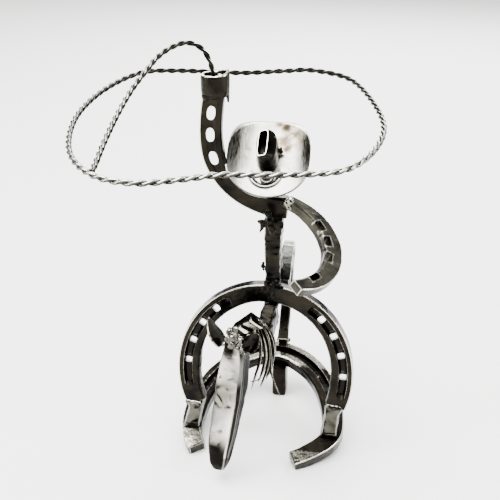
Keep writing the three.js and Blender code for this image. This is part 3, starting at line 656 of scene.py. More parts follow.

# ---- Body shoe: the horse's back and rump ----
# Half and a bit of a third shoe, stood in the horse's middle plane behind the rider. Its upper
# edge is buffed bright near the toe; further round, the edge's left half has a painted grey sheen
# and its right half is left dark as painted shade. The creased side keeps its scale.

BODY = {"half": 64.4, "toe_run": 73, "length": 128, "heel_left": 45, "heel_right": 45, "power": 2,
        "web": 17.5, "web_side": 16.5, "web_heel": 13.5}
BODY_ROLL, BODY_YAW = math.radians(2.7), math.radians(2)
body_plane = plane((2.6, 109, 86.5), (-math.sin(BODY_ROLL), 0, -math.cos(BODY_ROLL)),
                   (math.sin(BODY_YAW), -math.cos(BODY_YAW), 0)) @ Matrix.Translation((0, 0, -STOCK / 2))
body_holes = nail_holes(BODY, 8.0, (-1, 38), (-1, 55), (-1, 74))
body = bar_piece("body_shoe_forging", shoe_stations(BODY, 106, 24), body_plane, nail_in=8.0,
                 creases=[(-1, 13, 92, 1)], holes=body_holes, shine=0.18)
BUFFED_RUN = 64
into_body = body_plane.inverted()
# Near the toe the outer edge is buffed bright; further round its left half gets a painted grey sheen and its
# right half is made dark, as painted shade
for vertex, value in zip(body.data.vertices, body.data.attributes["wear"].data):
    place = vertex.co * 1000 - ORIGIN
    spine = (into_body @ place).xy
    point, inward = shoe_edge(BODY, -1 if spine.x < 0 else 1, max(spine.y, 0.5))
    if (np.array(spine) - point) @ inward < 0.8 and vertex.normal.z > -0.3:
        value.value = 0.85 if spine.y < BUFFED_RUN else 0.5 * (place.x < 2.2)
finish_piece(body, shoe_steel, "body_shoe")

# ---- Torso ----
# A straightened piece of shoe bar stood on the arch shoe's toe, its long sides to left and right.
# Arc-welded at the foot, where the metal has run down over the toe, and spattered along its side.


def bead(name, blobs, steel, *nodes, slot="forged_steel", lump=0.55, swell=0.25):
    """Weld metal: overlapping drops given as (x, y, z, radius, squash) that have run together."""
    points, faces = [], []
    rows, columns = 9, 14
    for x, y, z, radius, squash in blobs:
        faces += tube_faces(rows, columns, start=len(points))
        for i in range(rows):
            polar = math.pi * (i + 0.5) / rows
            for turn in around(columns):
                points.append(Vector((x + radius * math.sin(polar) * math.cos(turn),
                                      y + radius * squash * math.sin(polar) * math.sin(turn),
                                      z + radius * math.cos(polar))))
    drop = mesh_piece(name, points, faces)
    face_out(drop)
    run_together = drop.modifiers.new("run together", "REMESH")
    run_together.mode, run_together.voxel_size = "VOXEL", lump * 0.001
    rounded = drop.modifiers.new("rounded", "SMOOTH")
    rounded.factor, rounded.iterations = 0.6, 5
    settle(drop)
    for label in ("wear", "dirt"):
        if label not in drop.data.attributes:
            drop.data.attributes.new(label, "FLOAT", "POINT")
    roughen(drop, (2.6, swell), (1.0, swell * 0.35))
    smooth(drop, 60)
    # Faces of the drops that turn up and to the front are painted lighter: a painted highlight
    toward_light = np.array([v.normal.z - 0.4 * v.normal.y for v in drop.data.vertices])
    drop.data.attributes["wear"].data.foreach_set("value", np.clip(0.35 * (toward_light - 0.75) / 0.3, 0, 0.5))
    finish_piece(drop, steel, *nodes, slot=slot)


weld_steel = forged_steel("weld_metal", scale_code="#060605", rust_code="#16130e", gloss=0.3, bright_from=0.36)

TORSO_FRONT, TORSO_BACK, TORSO_FOOT, TORSO_TOP = -5.0, 12.5, 142.6, 189.3
TORSO_STEPS = 70
# part of the height, width, lean to the right
TORSO_KEYS = [(0, 11.8, 2.0), (0.08, 11.0, 2.1), (0.35, 11.0, 1.7), (0.6, 11.2, 1.5), (0.85, 12.2, 1.9),
              (1, 13.2, 1.6)]
torso_rings = []
for i, (wide, lean) in enumerate(eased(TORSO_KEYS, TORSO_STEPS)):
    z = TORSO_FOOT + i / TORSO_STEPS * (TORSO_TOP - TORSO_FOOT)
    middle = Vector((lean, (TORSO_FRONT + TORSO_BACK) / 2, z))
    ring = []
    for x, y, edge in soft_square(wide, TORSO_BACK - TORSO_FRONT, 0.26, 56):
        hollow = 0.96 * bell(y, -1.5, 3.2) * (x > 0)
        # Painted light and shade: the front-left arris is painted brighter than the others, and the right
        # face along its hollow is painted dark
        wear = edge * (0.38 if x < 0 and y < 0 else 0.08)
        ring.append((middle + Vector((x - hollow, y, 0)), wear, 0.8 * (x > wide * 0.38 and abs(y + 1.5) < 3)))
    torso_rings.append(ring)
torso = loft_piece("torso_forging", torso_rings, ((9, 0.6), (3.2, 0.6), (1.3, 0.3)))
finish_piece(torso, shoe_steel, "torso_bar")
bead("torso_foot_weld", [
    (-3.5, -7, 140.5, 2.6, 0.8), (0.3, -7.6, 138.5, 3.4, 0.7), (4.2, -7.2, 140.6, 3.0, 0.8),
    (7.8, -6.8, 141.2, 2.4, 0.8), (1.5, -8.2, 141.8, 3.0, 0.6), (-1.0, -6.2, 144.2, 3.0, 1.0),
    (4.6, -5.6, 144.4, 3.0, 1.0), (10.5, -6.2, 140.0, 1.7, 0.8), (-5.6, -6.4, 141.6, 1.6, 0.8),
    (1.6, -8.0, 134.6, 2.3, 0.5)], weld_steel, swell=0.45)
bead("torso_spatter", [
    (-4.9, -3.4, 155.6, 1.7, 0.9), (-4.6, -3.6, 158.2, 1.2, 0.9), (-4.4, -4, 153.2, 1.0, 0.9)],
     weld_steel, lump=0.4)

# ---- Neck ----
# A short plate of shoe bar from under the arch's toe forward and down to the poll, wide face to
# the side. Its top is built up with rough, lumpy weld, with a small gap left under the toe.

neck_along = Vector((-4.5, -25, -11)).normalized()
neck_up = (Vector((0, 0, 1)) - neck_along * neck_along.z).normalized()
neck_side = neck_up.cross(neck_along).normalized()
WORLD_X, WORLD_Y, WORLD_Z = Vector((1, 0, 0)), Vector((0, 1, 0)), Vector((0, 0, 1))
# middle, across, up, width, depth
NECK_KEYS = [(Vector((0.8, 1.2, 119.4)), WORLD_X, WORLD_Z, 9.8, 17.5),
             (Vector((0.4, -7.4, 118.6)), WORLD_X, WORLD_Z, 10.2, 17.5),
             (Vector((-1, -15, 112.5)), neck_side, neck_up, 10.8, 16.5),
             (Vector((-5, -23, 105.5)), neck_side, neck_up, 9.8, 14.5)]
NECK_STEPS = 60
neck_rings = []
for i in range(NECK_STEPS + 1):
    t = i / NECK_STEPS * (len(NECK_KEYS) - 1)
    k = min(int(t), len(NECK_KEYS) - 2)
    blend = t - k
    blend = blend * blend * (3 - 2 * blend)
    (p, a, b, w, d), (q, c, e, v, f) = NECK_KEYS[k], NECK_KEYS[k + 1]
    centre, across, up = p.lerp(q, blend), a.lerp(c, blend).normalized(), b.lerp(e, blend).normalized()
    neck_rings.append([
        (centre + across * x + up * y, 0.5 * edge * (x > 0), 0.35 * (abs(x) > 3 and abs(y) < 5))
        for x, y, edge in soft_square(w + (v - w) * blend, d + (f - d) * blend, 0.3, 56)])
neck = loft_piece("neck_forging", neck_rings, ((7, 0.9), (2.6, 0.7), (1.1, 0.3)))
finish_piece(neck, weld_steel, "neck_bar")

# ---- Head ----
# A heavy bar end drawn out to a long muzzle. Its face is ground in a few broad facets and buffed
# to a mirror; the off side keeps the shoe's dark crease, and a slit for the nostril is cut into it.

HEAD_YAW = math.radians(10)
head_right = Vector((math.cos(HEAD_YAW), -math.sin(HEAD_YAW), 0))
head_back = Vector((math.sin(HEAD_YAW), math.cos(HEAD_YAW), 0))
# height, face x, face y, width, depth, roundness
HEAD_KEYS = [(118, -20, -30, 9, 9, 0.4), (113, -20.8, -31.3, 12.4, 15, 0.3), (104, -22, -34, 14.8, 20.6, 0.2),
             (87, -23.6, -37, 17.5, 20.8, 0.16), (68, -25.6, -41, 19.4, 19.8, 0.16),
             (52, -27.6, -44.2, 18.6, 18.8, 0.17), (38, -29.4, -47, 17.2, 16.8, 0.19),
             (27, -30.6, -49, 15.6, 15.2, 0.24), (19, -31.1, -49.8, 14.2, 13.8, 0.34),
             (14, -31.2, -49.2, 12, 11.6, 0.5), (11.8, -31.2, -47.9, 7.6, 7.6, 0.8)]
HEAD_STEPS, HEAD_SIDES = 150, 96
head_rings = []
for z, face_x, face_y, wide, deep, roundness in eased([(-k[0], *k) for k in HEAD_KEYS], HEAD_STEPS):
    centre = Vector((face_x, face_y, z)) + head_back * deep / 2
    ridge = wide * (0.33 - 0.06 * (z - 20) / 80)
    # Bands painted dark at the top, at the nose and across the middle: painted shade on the mirror face
    painted_shade_bands = max(0.0, (z - 97) / 14) + 0.75 * clamp((39 - z) / 9) + 0.3 * bell(z, 71, 6)
    ring = []
    for x, y, edge in soft_square(wide, deep, roundness, HEAD_SIDES):
        crease = bell(y, 1, 3) * (x > 0) * clamp(min((100 - z) / 8, (z - 20) / 4))
        slit = bell(y, -deep * 0.18, 1.5) * (x > 0) * clamp(1 - abs(z - 27) / 9.5) ** 0.4
        facet = 0.315 * math.sin((z - 20) / 11.0) * (y < 0) if z < 100 else 0
        turned_back = max(0.0, x - ridge) * 0.85 * (y < -deep * 0.2) * clamp((z - 16) / 10)
        temple = 1.6 * bell(z, 66, 4) * (y < -deep * 0.3) * clamp(x / wide * 2)
        x -= 2.0 * crease + 2.6 * slit
        y += facet + temple + turned_back
        # Painted light on the mirror face: a bright line along the ridge is a painted highlight, and light
        # upper and lower panels are painted reflections
        on_ridge = bell(x, ridge, 0.5) * (y < 0)
        upper_panel = 0.75 * bell(z, 89, 9, 4) * (0.75 - x / wide)
        lower_panel = 0.8 * bell(z, 50, 12, 4) * bell(x / wide, -0.12, 0.26)
        painted_reflection = max(upper_panel, lower_panel) * (y < -deep * 0.3)
        wear = max(edge * (0.2 if y < 0 else 0.1), 0.9 * on_ridge, 0.55 * painted_reflection) * (0.3 if z < 24 else 1)
        # The sides that turn away and the back are painted dark: painted shade
        side = 0.78 * (x > wide * 0.36 or x < -wide * 0.43)
        dirt = max(painted_shade_bands, side, 0.75 * (y > deep * 0.3), crease, slit * 1.3)
        ring.append((centre + head_right * x + head_back * y, wear, dirt))
    head_rings.append(ring)
head = loft_piece("horse_head_forging", head_rings, ((15, 0.7), (5, 0.18)))
mirror_steel = polished_steel("mirror_mild_steel", bright_code="#7a796d", shade_code="#12110d", gloss=0.1,
                              wave=11.0, clouded=(0.45, 0.58))
finish_piece(head, mirror_steel, "horse_head", slot="polished_steel")
ground_weld = polished_steel("ground_weld", bright_code="#64625a", shade_code="#1f1d17", gloss=0.24, wave=3.5)
bead("poll_weld", [
    (-21, -32.5, 114, 3.2, 0.8), (-17, -31.5, 112.5, 3.0, 0.8), (-25.5, -31.5, 112, 2.6, 0.8),
    (-18, -32.5, 107.5, 2.6, 0.8), (-24.5, -30, 117.5, 2.6, 1.0), (-23, -33, 108, 2.6, 0.8),
    (-20, -30, 119, 2.8, 1.0), (-28, -30.5, 107, 2.0, 1), (-16, -33, 104, 2.6, 0.8)],
     ground_weld, slot="polished_steel", lump=0.45, swell=1.1)

# ---- Poll piece ----
# A short length cut from a creased shoe, laid across the top of the neck: bright rim, dark crease,
# bright rim. Welded to the head and the neck.

POLL_LONG, POLL_HIGH, POLL_DEEP = 17.0, 12.5, 8.5
poll_frame = plane((-11.5, -28, 121.3), (0.72, -0.12, 0.66), (-0.5, -0.3, 0.6))
# along the piece, step down from the top face, wear, dirt
POLL_BANDS = [(0, 1.2, 0.3, 0.2), (0.05, 0.7, 0.6, 0), (0.1, 0.7, 0.2, 0.7), (0.22, 0.9, 0, 1),
              (0.25, 0.2, 0.95, 0), (0.29, 0, 0.95, 0), (0.42, 0, 0.85, 0), (0.46, 0.2, 0.6, 0.2),
              (0.48, 1.4, 0, 1), (0.54, 1.5, 0, 0.8), (0.6, 1.0, 0.5, 0), (0.66, 0.5, 0.6, 0),
              (0.86, 0.2, 0.5, 0.1), (0.92, 0, 0.3, 0), (0.95, 0, 1, 0), (0.985, 0.3, 1, 0), (1, 1.0, 0.2, 0)]
poll_rings = []
for along, step, wear, dirt in POLL_BANDS:
    end = 0.7 if along in (0, 1) else 0.0
    ring = []
    for y, z, edge in soft_square(POLL_HIGH - end, POLL_DEEP - end, 0.3, 44):
        bow = 0.03 * y * y
        upper = z > 0
        x = POLL_LONG * (along - 0.5) - bow * (0.3 < along < 0.95)
        corner = poll_frame @ Vector((x, y, z - step * upper - bow * 0.6))
        ring.append((corner, (wear + 0.25 * edge) * upper, dirt * upper))
    poll_rings.append(ring)
poll = loft_piece("poll_piece_cut", poll_rings, ((6, 0.3), (2.4, 0.12)))
finish_piece(poll, shoe_steel, "poll_piece")

# ---- Ears ----
# Two leaves snipped from thin sheet and folded into cups, dark inside with a bright cut edge.
# Each is welded by its foot at the top of the head.

snipped_steel = forged_steel("snipped_steel_sheet", scale_code="#0d0c09", rust_code="#201d16",
                             bright_code="#e4e1d6", bright_from=0.3)
LEAF_ACROSS, LEAF_STEPS, LEAF_SHEET = 25, 32, 0.9


def catmull(points, t):
    """A point on a smooth curve through the given points, t from 0 to 1."""
    t = t * (len(points) - 1)
    k = min(int(t), len(points) - 2)
    f = t - k
    taps = [points[max(k - 1, 0)], points[k], points[k + 1], points[min(k + 2, len(points) - 1)]]
    weights = ((-f + 2 * f ** 2 - f ** 3) / 2, (2 - 5 * f ** 2 + 3 * f ** 3) / 2,
               (f + 4 * f ** 2 - 3 * f ** 3) / 2, (f ** 3 - f ** 2) / 2)
    return sum((p * w for p, w in zip(taps, weights)), Vector())


def leaf(name, stations, across, bulge, node):
    """A folded leaf through (middle, width, hollow) stations."""
    across, bulge = Vector(across).normalized(), Vector(bulge).normalized()
    middles = [Vector(station[0]) for station in stations]
    sizes = [(k, *station[1:]) for k, station in enumerate(stations)]
    spread = np.linspace(-1, 1, LEAF_ACROSS)
    rim = [clamp((abs(s) - 0.8) / 0.1) for s in spread]
    rings = []
    for index in range(LEAF_STEPS + 1):
        t = index / LEAF_STEPS
        middle = catmull(middles, t)
        wide, hollow = between(sizes, t * (len(stations) - 1))
        front = [middle + across * s * wide / 2 + bulge * hollow * (1 - s * s) for s in spread]
        tip = max(0.0, (index - LEAF_STEPS + 3) / 2)
        inside = [(p, max(r, tip), 0.75 * (1 - r)) for p, r in zip(front, rim)]
        outside = [(p + bulge * LEAF_SHEET, 0.6 * max(r, tip), 0.0) for p, r in zip(front, rim)]
        rings.append(inside + outside[::-1])
    finish_piece(loft_piece(name, rings, sharp=50), snipped_steel, node)


leaf("left_ear_leaf",
     [((-30.0, -28, 103), 7, 1.5), ((-32.6, -27.4, 108), 13, 3.8), ((-35.4, -26.6, 113.5), 12.5, 3.4),
      ((-38.2, -25.6, 119), 7, 1.8), ((-40.0, -25, 124.2), 0.8, 0.2)],
     (0.85, -0.3, 0.42), (0.1, 0.95, 0.2), "left_ear")
leaf("right_ear_leaf",
     [((-11.4, -34, 102.6), 5, 2), ((-10.6, -34, 106), 12, 4.2), ((-9.8, -34, 110.5), 14.5, 4.6),
      ((-8.8, -34, 114.4), 13.5, 3.4), ((-7.6, -34, 117.4), 10, 2.4), ((-6.8, -34, 119), 5, 1.0)],
     (0.97, -0.2, 0.2), (0.05, 0.96, 0.2), "right_ear")

# ---- Mane ----
# Seven strips snipped from thin black sheet, curled and twisted, tacked in a row behind the right
# ear. They hang on the near side of the neck, one long one springing forward.

MANE = [
    ([(-5.5, -28.5, 126.5), (1.5, -29.5, 117), (4.2, -28.5, 100), (4.4, -27, 84), (10.6, -26, 65)], 2.0, 0.5),
    ([(-5.5, -28, 127), (2.0, -28, 118), (5.4, -27, 104), (4.0, -26, 90), (0.8, -26.5, 79)], 3.4, 0.9),
    ([(-6, -28.5, 126), (0.4, -29.5, 116), (2.6, -28.5, 102), (1.4, -28, 88), (-3.2, -27.5, 72.5)], 3.2, 0.7),
    ([(-6, -29.5, 125.5), (-1.4, -30.5, 114), (0.2, -29.5, 100), (-1.4, -29, 88), (-4.6, -28, 77)], 2.8, 0.5),
    ([(-6.5, -30, 124.5), (-3.0, -31.5, 112), (-3.2, -30.5, 97), (-6.5, -29, 83), (-9.6, -28, 70)], 2.6, 0.6),
    ([(-5, -27, 127), (3.8, -26, 116), (6.2, -24.5, 103), (5.0, -25, 91), (3.0, -25.5, 82)], 3.6, 1.1),
    ([(-6, -29, 125), (-0.4, -30, 112), (1.0, -29, 95), (-3.6, -28, 80), (-10.2, -27.5, 76)], 2.2, 0.8),
]
# A strip's section: across, up, wear
STRIP = ((-1, 0.3, 0.95), (-0.75, 0.36, 0), (0.8, 0.36, 0), (1, 0.3, 0.8), (1, -0.3, 0.2), (-1, -0.3, 0.9))
STRIP_STEPS = 34
mane_points, mane_faces, mane_wear = [], [], []
for number, (route, wide, twist) in enumerate(MANE):
    route = [Vector(p) for p in route]
    mane_faces += tube_faces(STRIP_STEPS + 1, len(STRIP), start=len(mane_points))
    for i in range(STRIP_STEPS + 1):
        t = i / STRIP_STEPS
        here = catmull(route, t)
        along = (catmull(route, min(t + 0.02, 1)) - catmull(route, max(t - 0.02, 0))).normalized()
        turn = twist * (t - 0.4) * 1.6 + number * 0.2
        across = Vector((math.cos(turn), -0.45, math.sin(turn) * 0.3))
        across = (across - along * across.dot(along)).normalized()
        face = along.cross(across)
        half = wide * 0.43 * (1 if t < 0.7 else 1 - 0.85 * ((t - 0.7) / 0.3) ** 1.4)
        for a, b, shine in STRIP:
            mane_points.append(here + across * half * a + face * b)
            mane_wear.append(shine)
mane = mesh_piece("mane_strips", mane_points, mane_faces, mane_wear, sharp=30)
mane_steel = forged_steel("blackened_sheet_strip", scale_code="#070605", rust_code="#14120e", gloss=0.3)
finish_piece(mane, mane_steel, "mane")
bead("mane_tack_weld", [(-6.5, -26, 125, 2.4, 1), (-4.5, -25, 123.5, 2.2, 1)], weld_steel, lump=0.4)

# ---- Raised arm ----
# Rather less than half of a lighter shoe, toe at the rider's shoulder and heel up at the hand.
# Its crease holds three punched slots; it is welded edge-on to the torso's top.

RAISED = {"half": 61.4, "toe_run": 54.5, "length": 97.4, "heel_left": 53.3, "heel_right": 53.3, "power": 2.0,
          "web": 14.7, "web_side": 14.7, "web_heel": 14.0}
RAISED_ROLL = math.radians(4)
raised_plane = plane((16.7, 2.5, 189.4), (-math.cos(RAISED_ROLL), 0, -math.sin(RAISED_ROLL)),
                     (-math.sin(RAISED_ROLL), 0, math.cos(RAISED_ROLL)))
RAISED_NAIL_IN = 7.3
raised_holes = nail_holes(RAISED, RAISED_NAIL_IN, (1, 43.5), (1, 61.7), (1, 77.5), wide=5.4, long=9.2)
raised = bar_piece("raised_arm_forging", shoe_stations(RAISED, 0, 89.6, start=0.35), raised_plane,
                   nail_in=RAISED_NAIL_IN, creases=[(1, 26, 86, 0.16)], holes=raised_holes, pitch=-0.33,
                   lean=0.2, shine=0.04, corner=0.85, taper=1.1, hole_wear=0.0)
arm_steel = forged_steel("light_shoe_steel", scale_code="#080706", rust_code="#1d1a13", gloss=0.36)
finish_piece(raised, arm_steel, "lasso_arm")

# ---- Rein arm ----
# A half-moon cut from a pony shoe, held out to the front and tilted, flat face up. The face is
# wire-brushed grey with bright arrises and four punched slots; its sawn end is welded to the torso.

REIN_ORIGIN = (14, -8, 202)
REIN_NORMAL = Vector((0.45, -0.35, 0.82)).normalized()
rein_across = WORLD_Y.cross(REIN_NORMAL).normalized()
rein_plane = plane(REIN_ORIGIN, rein_across, -REIN_NORMAL.cross(rein_across))
OUTER = (6.9, -26.1, 38.5, 104.0, -58.0)
INNER = (0.5, -27.3, 32.6, 99.0, -55.0)


def on_circle(circle, s):
    x, y, r, start, end = circle
    angle = math.radians(start + (end - start) * s)
    return np.array([x + r * math.cos(angle), -(y + r * math.sin(angle))])


rein_stations = []
REIN_STEPS = 120
for k in range(REIN_STEPS + 1):
    outer, inner = on_circle(OUTER, k / REIN_STEPS), on_circle(INNER, k / REIN_STEPS)
    web = float(np.linalg.norm(inner - outer))
    if (rein_plane @ Vector((outer[0], outer[1], 0))).x > 9:
        rein_stations.append((outer, (inner - outer) / web, web, 1, k))
rein_holes = []
for angle in (53, 31, 8, -32):
    a = math.radians(angle)
    out = np.array([math.cos(a), -math.sin(a)])
    rein_holes.append((np.array([3.0, 27.0]) + out * 33, out, np.array([-out[1], out[0]]), 4.6, 7.6))
brushed_shoe = forged_steel("wire_brushed_shoe_steel", scale_code="#1a1914", rust_code="#403e35",
                            bright_code="#d5d2c6", gloss=0.36, bright_from=0.4)
rein = bar_piece("rein_arm_forging", rein_stations, rein_plane, nail_in=6.0, holes=rein_holes, shine=0.12)
finish_piece(rein, brushed_shoe, "rein_arm")
bead("shoulder_weld", [(13.5, -5.0, 206.0, 2.6, 1), (11.0, -4.6, 204.0, 2.4, 1), (12.6, -4.6, 201.0, 2.2, 1)],
     mirror_steel, slot="polished_steel", swell=0.5)

# ---- Neckerchief ----
# Drops of weld at the torso's top, as a neckerchief: from the front, a long point hangs on the left
# and a short knot sits on the right.


def ripple(start, end, width, count, squash=0.6):
    """A stringer bead from one point to another: a row of overlapping drops."""
    start, end = Vector(start), Vector(end)
    wobble = random.Random(count * 7 + int(width * 10))
    drops = []
    for i in range(count):
        p = start.lerp(end, i / (count - 1))
        drops.append((p.x + wobble.uniform(-0.3, 0.3), p.y, p.z + wobble.uniform(-0.3, 0.3),
                      width / 2 * wobble.uniform(0.85, 1.15), squash))
    return drops


bead("left_scarf_point", [
    (-5.6, -4.5, 189.2, 2.3, 0.7), (-7.6, -4.5, 189.6, 1.5, 0.7), (-5.4, -4.6, 186.6, 1.9, 0.7),
    (-5.8, -4.7, 184.6, 1.4, 0.7), (-6.6, -4.8, 183.0, 0.9, 0.7), (-7.2, -4.8, 181.8, 0.6, 0.8)],
     weld_steel, "left_scarf_knot", lump=0.35, swell=0.3)
bead("right_scarf_point", [
    (6.8, -4.2, 189, 2.2, 0.8), (7.4, -4.4, 186.8, 1.8, 0.8), (8.4, -4.2, 188.2, 1.2, 0.8)],
     weld_steel, "right_scarf_knot", lump=0.35, swell=0.3)
bead("chest_weld", ripple((-1.5, -4.6, 196), (1.8, -5.4, 183), 5.0, 9), weld_steel, swell=0.7)

# ---- Hand ----
# A flat strip bent cold round the rope's end like a curled fist, its tail running down the back of
# the arm's heel where it is welded. Its upper cut edge is bright.

HAND_X, HAND_Y, HAND_FOOT, HAND_HIGH = -38.0, 4.0, 273.9, 14.7
HAND_RX, HAND_RY, HAND_SHEET = 9.2, 6.4, 2.3
HAND_STEPS = 90
hand_rings = []
for i in range(HAND_STEPS + 1):
    t = i / HAND_STEPS
    angle = math.radians(25 - 305 * t)
    grow = 1 + 0.1 * clamp(1 - t / 0.12)
    out = Vector((math.cos(angle), math.sin(angle), 0))
    centre = Vector((HAND_X + HAND_RX * grow * out.x, HAND_Y + HAND_RY * grow * out.y, 0))
    lift = 2.2 * clamp(1 - t / 0.25) ** 1.5 - 1.2 * math.sin(math.pi * t) ** 2
    foot, top = HAND_FOOT - 6.3 * clamp(1 - t / 0.16), HAND_FOOT + HAND_HIGH + lift - 0.8
    hand_rings.append([
        (centre - out * (HAND_SHEET / 2 - x) + WORLD_Z * (foot + (y + 0.5) * (top - foot)),
         0.85 * (y > 0.42) + 0.2 * edge, 0.6 * (x < 0 and y < 0.4))
        for x, y, edge in soft_square(HAND_SHEET, 1.0, 0.4, 28)])
hand = loft_piece("hand_strip", hand_rings, ((6, 0.4), (2.4, 0.15)))
finish_piece(hand, arm_steel, "hand")
bead("wrist_weld", ripple((-44, 2.0, 272.6), (-32.5, 1.6, 274.6), 5.4, 8, 0.8), weld_steel, swell=0.6)

# ---- Hat ----
# The brim is thin stainless sheet, cut round, rolled up at both sides and buffed; welding has
# tinted it straw and brown at the middle. The crown is a pinched offcut of square tube standing on
# it, one wall slit open, and a washer-like button closes its front foot.

HAT_MIDDLE, HAT_TIP = Vector((-3.2, 12.2, 228.3)), math.radians(45)
hat_plane = plane(HAT_MIDDLE, (1, 0, 0), (0, math.cos(HAT_TIP), math.sin(HAT_TIP)))
BRIM_RX, BRIM_RY, BRIM_CURL, BRIM_SHEET = 28.9, 28.4, 6.0, 1.3


def brim_lift(x, y):
    """The sheet's height over its own plane: rolled sides, a slight wave, a dished ring at the foot."""
    dish = 0.8 * bell(math.hypot(x + 1.5, y + 10), 10.5, 1.2) / (1 + math.exp((y + 11) / 1.5))
    return BRIM_CURL * abs(x / BRIM_RX) ** 3 + dish + 0.25 * math.sin(y / 9) * abs(x) / BRIM_RX


BRIM_RINGS, BRIM_AROUND = 56, 200
brim_points = []
reaches = [i / BRIM_RINGS for i in range(1, BRIM_RINGS + 1)]
for reach, face in [(reach, 1) for reach in reaches] + [(reach, -1) for reach in reaches[::-1]]:
    rounding = 0.4 * clamp((reach - 0.97) / 0.03)
    for a in around(BRIM_AROUND):
        power = 2.7 + 0.7 * math.sin(a)
        square = (abs(math.cos(a)) ** power + abs(math.sin(a)) ** power) ** (-1 / power)
        x = (BRIM_RX - 0.1) * square * math.cos(a) * reach
        y = (BRIM_RY - 0.1) * square * math.sin(a) * reach
        brim_points.append(Vector((x, y, brim_lift(x, y) + face * (BRIM_SHEET / 2 - rounding))))
upper, lower = len(brim_points), len(brim_points) + 1
brim_points += [Vector((0, 0, brim_lift(0, 0) + face * BRIM_SHEET / 2)) for face in (1, -1)]
brim_faces = tube_faces(2 * BRIM_RINGS, BRIM_AROUND)[:-2]
last_ring = (2 * BRIM_RINGS - 1) * BRIM_AROUND
for j in range(BRIM_AROUND):
    beside = (j + 1) % BRIM_AROUND
    brim_faces += [(upper, beside, j), (lower, last_ring + j, last_ring + beside)]
# Heat clouds: x, y, size, depth
HEAT_SPOTS = [(8.5, 12.5, 5.0, 0.7), (11.5, 8.5, 3.6, 0.7), (17.0, 18.0, 6.0, 0.6), (-4.0, -12.0, 3.2, 0.5),
              (10.0, 24.5, 4.0, 0.95), (5.0, 26.5, 3.0, 0.8), (15.0, 26.0, 3.0, 0.7), (-14.0, 6.0, 2.5, 0.35)]
# The rolled sides are painted dark, as painted reflections of the dark room; each band follows the brushing,
# from the top edge down
brim_wear, brim_tint, dark_reflection_bands = [], [], []
for x, y, z in brim_points:
    across, side = x / BRIM_RX, abs(x) / BRIM_RX
    brim_wear.append(0.35 * (side ** 2.5 + abs(y / BRIM_RY) ** 2.5 > 0.93))
    heat = [deep * bell(math.hypot(x - u, y - v), 0, size) for u, v, size, deep in HEAT_SPOTS]
    foot = 0.8 * bell(max(0.0, math.hypot(x + 0.6, (y - 2) / 1.5) - 6.8), 0, 1.3)
    brim_tint.append(max(*heat, foot))
    rolled = 0.97 * clamp((side - (0.28 if x < 0 else 0.5)) / 0.3) - 0.25 * bell(side, 0.62, 0.1) * (x < 0)
    low = 0.25 + 0.75 / (1 + math.exp(-(y + 9) / 4))
    dark_reflection_bands.append(max(rolled * low, 0.5 * bell(across, 0.4, 0.1) * bell(y, 16, 12)))
brim = mesh_piece("hat_brim_sheet", [hat_plane @ p for p in brim_points], brim_faces, brim_wear, brim_tint)
face_out(brim)
shade = brim.data.attributes.new("shade", "FLOAT", "POINT")
shade.data.foreach_set("value", dark_reflection_bands)


def tinted_sheet(name):
    """Stainless sheet, buffed with a cloth wheel: a soft mirror with fine scratches.

    Welding heat leaves straw and violet-brown clouds; the rolled sides are painted dark, a painted reflection
    of the room's shade."""
    material, tree, shader, wear, heat, smears, wavy = worn_metal(
        name, ("Noise", 7, {"Detail": 5, "Distortion": 1.2}), ("Noise", 14, {"Detail": 1}))
    shade = add_node(tree, "Attribute", {"attribute_name": "shade"}, out="Fac")
    place = add_node(tree, "TexCoord", out="Object")
    stretch = add_node(tree, "Mapping", {"Scale": (1000 / 0.7, 1000 / 6, 1000 / 6)}, {"Vector": place})
    scratches = add_node(tree, "TexNoise", {"Scale": 1.0, "Detail": 3}, {"Vector": stretch})
    cloudy = add_node(tree, "Math", {"operation": "MULTIPLY_ADD", 1: 1.1, 2: -0.5}, {0: smears})
    burnt = add_node(tree, "Math", {"operation": "ADD", "use_clamp": True}, {0: heat, 1: cloudy})
    straw = ((0.1, "#a3a29a"), (0.38, "#8d8574"), (0.6, "#5d5345"), (0.9, "#26221b"))
    tint = add_node(tree, "ValToRGB", {"stops": straw}, {"Fac": burnt})
    brushed = add_node(tree, "Math", {"operation": "MULTIPLY_ADD", 1: 0.9, 2: -0.45}, {0: scratches})
    banded = add_node(tree, "Math", {"operation": "MULTIPLY_ADD"}, {0: brushed, 1: shade, 2: shade})
    rough = add_node(tree, "MapRange", {"To Min": 0.14, "To Max": 0.34}, {"Value": smears})
    cover(tree, shader, tint, ((banded, "#171611"), (wear, "#f4f2ec")), rough,
          (wavy, 0.25, 0.8), (scratches, 0.06, 0.1))
    return material


finish_piece(brim, tinted_sheet("buffed_stainless_sheet"), "hat_brim", slot="sheet_steel")

# The crown's tube: an outer wall that narrows upward, and a narrow slot down from its top
CROWN_X, CROWN_Y, CROWN_HIGH, CROWN_COUNT = -0.6, 2.0, 19.4, 96
